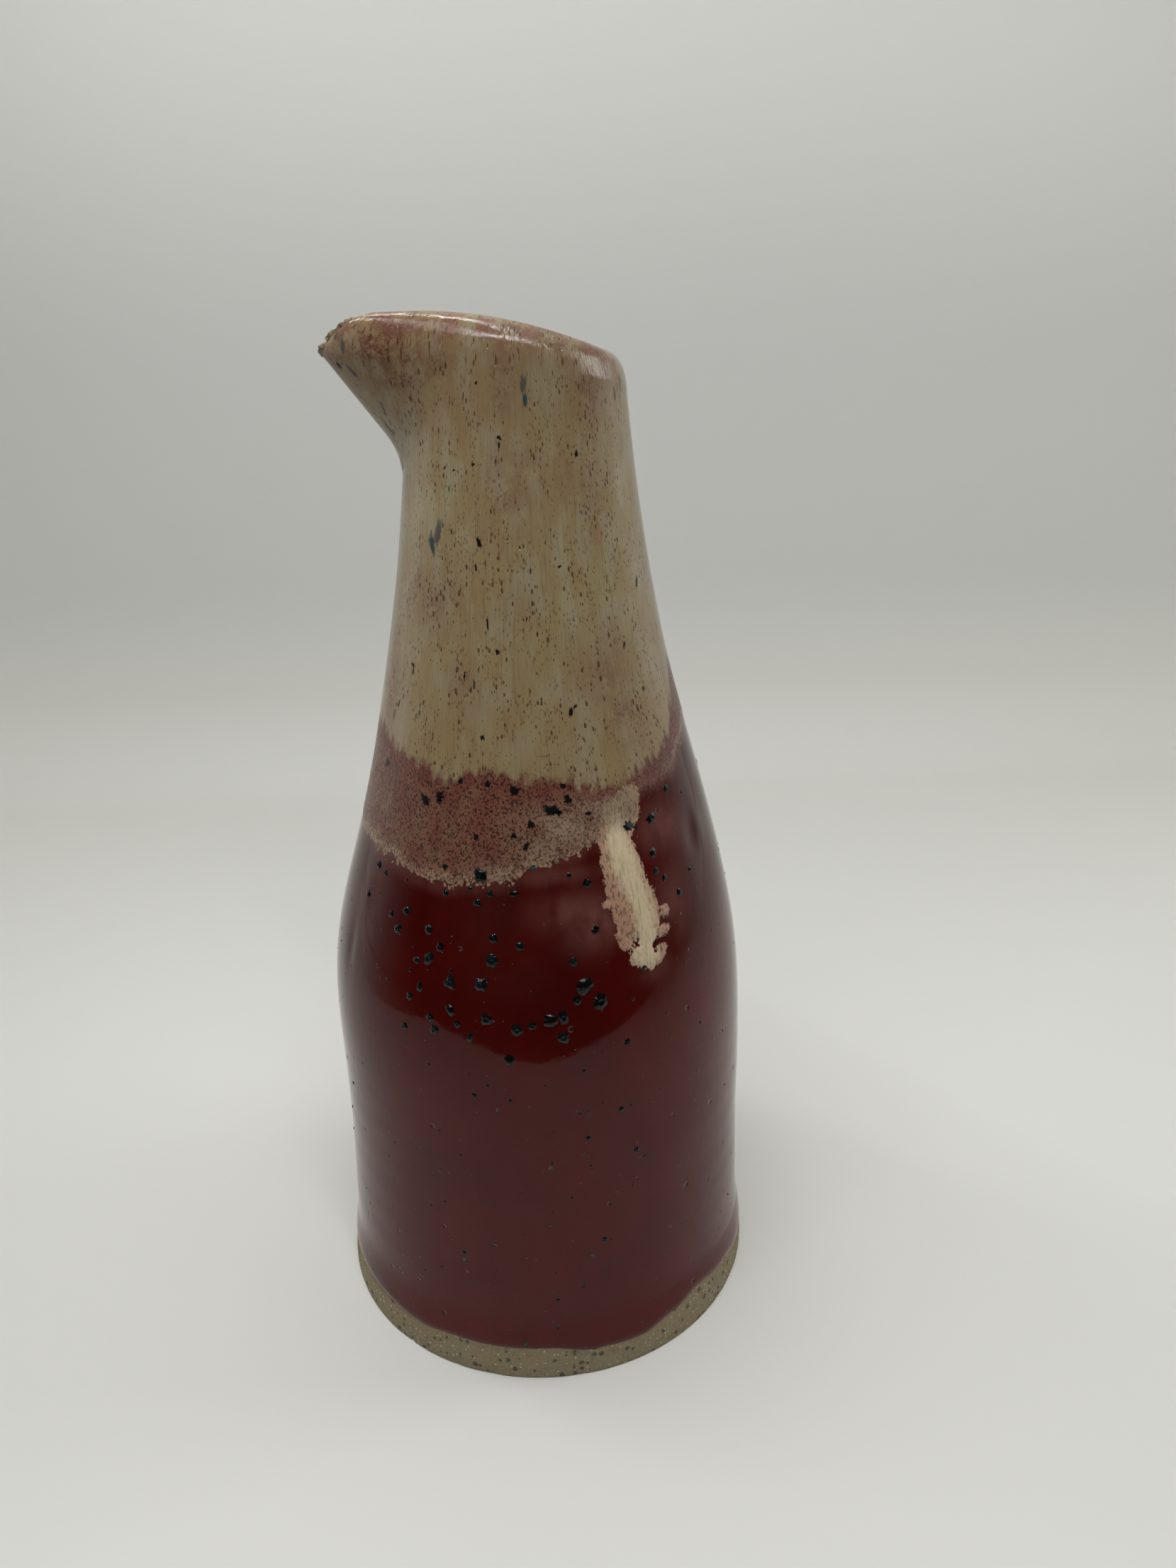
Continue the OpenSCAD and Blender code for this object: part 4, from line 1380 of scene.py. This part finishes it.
def clay_group():
    """Raw grogged stoneware: grey to tan with pale and dark grit and small pits."""
    group, b, given, put = new_group(
        "raw_clay",
        [("Place", VECTOR, (0.0, 0.0, 0.0)), ("Toast", FLOAT, 0.4)],
        [("Color", COLOUR), ("Height", FLOAT)],
    )
    place = given["Place"]
    cloud = b.noise(place, size=4.0, detail=4.0, roughness=0.6)
    grain = b.noise(place, size=0.45, detail=4.0, roughness=0.7)
    tone = b.mix(b.ease(cloud, 0.36, 0.64), clay_grey, clay_tan)
    tone = b.mix(b.times(b.ease(grain, 0.42, 0.68), given["Toast"]), tone, clay_brown)
    near, share = b.cells(place, size=0.95)
    white = b.times(b.ease(near, 0.3, 0.18), b.work("GREATER_THAN", share, 0.6))
    tone = b.mix(b.times(white, 0.8), tone, grog_white)
    dark_near, dark_share = b.cells(place, size=1.5)
    size = b.times(b.work("POWER", dark_share, 2.2), 0.42)
    pit = b.ease(b.work("SUBTRACT", dark_near, size), 0.04, -0.04)
    tone = b.mix(b.times(pit, 0.75), tone, clay_dark)
    b.feed(put["Color"], tone)
    b.feed(put["Height"], b.total(b.times(grain, 0.25), b.times(white, 0.08), b.times(pit, -0.3)))
    return group


def new_material(name):
    material = bpy.data.materials.new(name)
    material.use_nodes = True
    bench = Bench(material.node_tree)
    shader = material.node_tree.nodes["Principled BSDF"]
    return material, bench, shader


def add_bump(bench, shader, height):
    """Fine relief of a surface, with its height in millimetres."""
    bump = bench.node("ShaderNodeBump")
    bump.inputs["Strength"].default_value = 1.0
    bump.inputs["Distance"].default_value = MM
    bench.feed(bump.inputs["Height"], height)
    bench.feed(shader.inputs["Normal"], bump.outputs["Normal"])


def glaze_material(name, group, ior):
    """One of the dipped coats."""
    material, bench, shader = new_material(name)
    coat = bench.node("ShaderNodeGroup", node_tree=group)
    bench.feed(shader.inputs["Base Color"], coat.outputs["Color"])
    bench.feed(shader.inputs["Roughness"], coat.outputs["Roughness"])
    shader.inputs["IOR"].default_value = ior
    add_bump(bench, shader, coat.outputs["Height"])
    return material


def clay_material(name, group, toast):
    """Raw clay, more or less toasted."""
    material, bench, shader = new_material(name)
    clay = bench.node("ShaderNodeGroup", node_tree=group)
    bench.feed(clay.inputs["Place"], bench.place())
    clay.inputs["Toast"].default_value = toast
    bench.feed(shader.inputs["Base Color"], clay.outputs["Color"])
    shader.inputs["Roughness"].default_value = clay_dull
    add_bump(bench, shader, clay.outputs["Height"])
    return material


def liner_material(name):
    """Cream coat inside the jug, thinner and browner than outside."""
    material, bench, shader = new_material(name)
    broad = bench.noise(bench.place(0.2), size=8.0, detail=4.0)
    near, share = bench.cells(bench.place(0.5), size=1.6)
    tone = bench.mix(bench.ease(broad, 0.38, 0.64), cream_khaki, cream_tan)
    size = bench.times(bench.work("POWER", share, 1.6), 0.24)
    speck = bench.ease(bench.work("SUBTRACT", near, size), 0.03, -0.03)
    tone = bench.mix(bench.times(speck, 0.8), tone, speck_rust)
    bench.feed(shader.inputs["Base Color"], tone)
    bench.feed(shader.inputs["Roughness"], bench.blend(broad, 0.14, 0.3))
    shader.inputs["IOR"].default_value = liner_ior
    add_bump(bench, shader, bench.times(broad, 0.2))
    return material


def iron_material(name, gloss, feathered):
    """Iron burnt to near black, with green and brown tints that vary from spot to spot."""
    material, bench, shader = new_material(name)
    grit = bench.noise(bench.place(), size=0.35, detail=3.0, roughness=0.65)
    tint = bench.mark("tint")
    tone = bench.mix(bench.ease(bench.total(tint, bench.swing(grit, 1.2)), 0.4, 1.0), iron_black, iron_green)
    tone = bench.mix(bench.times(bench.ease(grit, 0.56, 0.7), bench.ease(tint, 0.6, 0.2)), tone, iron_brown)
    bench.feed(shader.inputs["Base Color"], tone)
    bench.feed(shader.inputs["Roughness"], bench.blend(grit, gloss, gloss + grit_dulling))
    shader.inputs["IOR"].default_value = iron_ior
    add_bump(bench, shader, bench.times(grit, 0.03))
    if feathered:
        soft = bench.total(bench.mark("edge"), bench.swing(grit, 1.1))
        bench.feed(shader.inputs["Alpha"], bench.ease(soft, 0.02, 0.5))
    return material


def pit_material(name):
    """Burst bubble in the red coat: a raised red edge round a dark middle."""
    material, bench, shader = new_material(name)
    grit = bench.noise(bench.place(), size=0.3, detail=2.0)
    hole = bench.ease(bench.total(bench.mark("edge"), bench.swing(grit, 0.4)), 0.42, 0.62)
    bench.feed(shader.inputs["Base Color"], bench.mix(hole, bench.mix(grit, red_deep, red_warm), iron_brown))
    bench.feed(shader.inputs["Roughness"], bench.blend(grit, 0.05, 0.16))
    shader.inputs["IOR"].default_value = pit_ior
    return material


def mark_material(name):
    """Blue-grey stain in a glaze, fading out towards its edge in streaks."""
    material, bench, shader = new_material(name)
    streak = bench.noise(bench.place(0.2), size=0.4, detail=3.0, roughness=0.6)
    tone = bench.mix(bench.ease(bench.mark("tint"), 0.2, 0.8), mark_blue, mark_grey)
    bench.feed(shader.inputs["Base Color"], tone)
    bench.feed(shader.inputs["Roughness"], bench.blend(streak, 0.12, 0.3))
    shader.inputs["IOR"].default_value = mark_ior
    soft = bench.total(bench.mark("edge"), bench.swing(streak, 1.6))
    bench.feed(shader.inputs["Alpha"], bench.times(bench.ease(soft, 0.05, 0.7), 0.85))
    return material


# Dressing of the frame


def settle(piece, slot, *nodes):
    """Puts a piece on the jug in place of its nodes; the slot is not used."""
    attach(piece, "root")
    if nodes:
        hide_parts(*nodes)


def clothe(node, material):
    """Gives a solid of the frame its material."""
    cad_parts[node].data.materials.clear()
    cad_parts[node].data.materials.append(material)


def dress_jug():
    glaze = dipped_group(cream_group(), overlap_group(), red_group())
    clay = clay_group()
    red_coat = glaze_material("red_glaze_oxblood", glaze, red_ior)
    overlap_coat = glaze_material("overlap_glaze_mottled", glaze, overlap_ior)
    cream_coat = glaze_material("cream_glaze_streaked", glaze, cream_ior)
    bare_clay = clay_material("raw_clay_grogged", clay, slab_toast)
    torn_clay = clay_material("raw_clay_torn", clay, torn_toast)

    settle(make_coat("red_coat", foot_line_z, pink_line_z, red_rows, red_coat), "red_glaze", "red_glaze")
    band = make_coat("overlap_coat", pink_line_z, cream_line_z, overlap_rows, overlap_coat)
    settle(band, "overlap_glaze", "overlap_glaze")
    settle(make_cream_coat("cream_coat", cream_coat), "cream_glaze", "cream_glaze")
    settle(make_run("cream_run", cream_coat), "cream_glaze", "cream_drip")
    settle(make_slab("cut_base_slab", bare_clay), "raw_clay", "base_slab")
    settle(make_torn_tip("torn_beak_tip", torn_clay), "raw_clay")
    blisters = iron_material("iron_blister", blister_gloss, feathered=False)
    settle(make_spots("iron_blisters", blister_list(), blisters, seed=61), "red_glaze")
    settle(make_spots("pin_holes", pit_list(), pit_material("burst_bubble"), seed=64), "red_glaze")
    stain_grey = mark_material("blue_grey_mark")
    settle(make_spots("iron_shadows", shadow_list(), stain_grey, seed=65), "red_glaze")
    flecks = iron_material("iron_fleck", fleck_gloss, feathered=True)
    settle(make_spots("iron_flecks", fleck_list(), flecks, seed=62), "overlap_glaze")
    settle(make_spots("blue_marks", mark_list(), stain_grey, seed=63), "cream_glaze")

    for node in ("floor_coil", "body_wall", "shoulder_coil", "neck_wall", "beaked_mouth"):
        clothe(node, bare_clay)
    clothe("liner_glaze", liner_material("liner_glaze_cream"))


# Stage: a white sheet swept up behind the jug, side screens, three strip lights and two soft lights

# Outline of the sheet on the floor, from the front: place along Y, reach to the left and to the right
sheet_floor = [
    (-230.0, 150.0, 60.0), (-226.0, 180.0, 140.0), (-215.0, 215.0, 230.0), (-194.0, 262.0, 330.0),
    (-173.0, 272.0, 420.0), (-142.0, 278.0, 470.0), (60.0, 290.0, 470.0), (190.0, 400.0, 470.0),
]
# Slant across the floor at the right along which the sheet runs out into shade: shares of X and Y, and the
# lengths along it between which it darkens
shade_x = 0.6
shade_y = -0.8
shade_start = 230.0
shade_end = 430.0
sheet_half_w = 470.0
sheet_back_y = 345.0
sheet_top_z = 560.0
sheet_bend_r = 45.0
sheet_bend_rows = 17
# Heights of painted shade, greyer low on the wall, and of painted light, paler again at its top
sheet_grey_low_z = 36.0
sheet_grey_z = 108.0
sheet_pale_low_z = 200.0
sheet_pale_z = 420.0
# Glowing side screens: distance from the middle, and where painted shade darkens them towards the front
screen_x = 470.0
screen_front_y = -222.0
screen_dark_y = -200.0
screen_white_y = 230.0
left_glow = 0.35
right_glow = 0.45
# Glowing patch of painted light on the right screen: middle along Y and Z, reach and share of the white
patch_y = -75.0
patch_z = 175.0
patch_r = 150.0
patch_share = 0.5
# Height of the shaded cloth under the left side of the sheet
cloth_z = -2.0
# Tones of the sheet: floor, painted shade low on the wall, painted light at its top, its shade, and the
# cloths
floor_tone = (0.77, 0.77, 0.735, 1.0)
wall_tone = (0.66, 0.66, 0.64, 1.0)
top_tone = (0.95, 0.95, 0.91, 1.0)
dark_tone = (0.04, 0.04, 0.04, 1.0)
cloth_tone = (0.72, 0.72, 0.69, 1.0)
# Lights: name, place, the place it points at, width and depth, power in watts
lights = [
    ("strip_above", (-45, -80, 430), (-20, -60, 100), (420, 2), 0.56),
    ("strip_ahead", (-45, -240, 425), (-20, -40, 100), (420, 2), 0.56),
    ("strip_left", (-230, -20, 430), (-40, -20, 150), (440, 2), 0.18),
    ("soft_top", (40, 110, 540), (30, 90, 0), (700, 340), 0.76),
    ("soft_side", (430, 30, 340), (0, 0, 150), (180, 180), 0.45),
]
room_tone = (1.0, 0.95, 0.9, 1.0)
room_light = 0.045


def cloth_material(name):
    """Plain dull cloth, to which its colours are added."""
    material, bench, shader = new_material(name)
    shader.inputs["Roughness"].default_value = cloth_dull
    shader.inputs["Specular IOR Level"].default_value = cloth_sheen
    return material, bench, shader


def sheet_material(name):
    """White sheet: painted shade low on the wall, painted light at its top, and painted shade where it runs
    out at the right.
    """
    material, bench, shader = cloth_material(name)
    place = bench.sides()
    height = place["Z"]
    grey = bench.ease(height, sheet_grey_low_z * MM, sheet_grey_z * MM)
    slant = bench.total(bench.times(place["X"], shade_x), bench.times(place["Y"], shade_y))
    shade = bench.ease(slant, shade_start * MM, shade_end * MM)
    tone = bench.mix(grey, floor_tone, wall_tone)
    tone = bench.mix(bench.ease(height, sheet_pale_low_z * MM, sheet_pale_z * MM), tone, top_tone)
    bench.feed(shader.inputs["Base Color"], bench.mix(shade, tone, dark_tone))
    return material


def screen_material(name, patch, glow):
    """Glowing cloth (painted light), darker towards the front (painted shade), with a soft patch at a share
    of its white.
    """
    material, bench, shader = cloth_material(name)
    place = bench.sides()
    share = bench.ease(place["Y"], screen_dark_y * MM, screen_white_y * MM)
    bench.feed(shader.inputs["Base Color"], bench.mix(share, dark_tone, cloth_tone))
    across = bench.work("SUBTRACT", place["Y"], patch_y * MM)
    above = bench.work("SUBTRACT", place["Z"], patch_z * MM)
    reach = bench.work("SQRT", bench.total(bench.times(across, across), bench.times(above, above)))
    spot = bench.times(bench.ease(reach, patch_r * MM, 0.0), patch)
    lit = bench.mix(bench.work("MAXIMUM", share, spot), dark_tone, cloth_tone)
    bench.feed(shader.inputs["Emission Color"], lit)
    shader.inputs["Emission Strength"].default_value = glow
    return material


def make_stage():
    white = sheet_material("white_sheet")
    rows = [(y, 0.0, left, right) for y, left, right in sheet_floor]
    for turn in np.linspace(0, math.pi / 2, sheet_bend_rows):
        y = sheet_back_y - sheet_bend_r * (1 - math.sin(turn))
        rows.append((y, sheet_bend_r * (1 - math.cos(turn)), sheet_half_w, sheet_half_w))
    rows.append((sheet_back_y, sheet_top_z, sheet_half_w, sheet_half_w))
    points = [(x, y, z) for y, z, left, right in rows for x in (-left, right)]
    faces = [[2 * i, 2 * i + 1, 2 * i + 3, 2 * i + 2] for i in range(len(rows) - 1)]
    make_piece("white_sheet", points, faces, white, sharp_angle=180)
    shaded = screen_material("shaded_screen", 0.0, left_glow)
    bright = screen_material("bright_screen", patch_share, right_glow)
    for name, x, material in (("left_screen", -screen_x, shaded), ("right_screen", screen_x, bright)):
        low = [(x, screen_front_y, 0.0), (x, sheet_back_y, 0.0)]
        high = [(x, sheet_back_y, sheet_top_z), (x, screen_front_y, sheet_top_z)]
        make_piece(name, low + high, [[0, 1, 2, 3]], material)
    inner = -screen_x / 2
    near = [(-screen_x, screen_front_y, cloth_z), (inner, screen_front_y, cloth_z)]
    far = [(inner, sheet_back_y, cloth_z), (-screen_x, sheet_back_y, cloth_z)]
    make_piece("floor_cloth", near + far, [[0, 1, 2, 3]], shaded)


def add_light(name, place, target, size, power):
    data = bpy.data.lights.new(name, "AREA")
    data.shape = "RECTANGLE"
    data.size = size[0] * MM
    data.size_y = size[1] * MM
    data.energy = power
    lamp = bpy.data.objects.new(name, data)
    lamp.location = Vector(place) * MM
    aim = (Vector(target) - Vector(place)).normalized()
    lamp.rotation_euler = aim.to_track_quat("-Z", "Y").to_euler()
    lamp.visible_camera = False
    bpy.context.scene.collection.objects.link(lamp)


def make_lights():
    for light in lights:
        add_light(*light)
    world = bpy.data.worlds.new("dim_room")
    world.use_nodes = True
    background = world.node_tree.nodes["Background"]
    background.inputs["Color"].default_value = room_tone
    background.inputs["Strength"].default_value = room_light
    bpy.context.scene.world = world


def make_camera():
    data = bpy.data.cameras.new("photo_camera")
    data.sensor_width = sensor
    data.lens = focal_px * sensor / photo_h
    data.clip_start = camera_clip * MM
    camera = bpy.data.objects.new("photo_camera", data)
    camera.matrix_world = Matrix.Translation(Vector(camera_place) * MM) @ camera_turn().to_4x4()
    bpy.context.scene.collection.objects.link(camera)
    bpy.context.scene.camera = camera


dress_jug()
make_stage()
make_lights()
make_camera()
bpy.context.scene.view_settings.view_transform = "Standard"
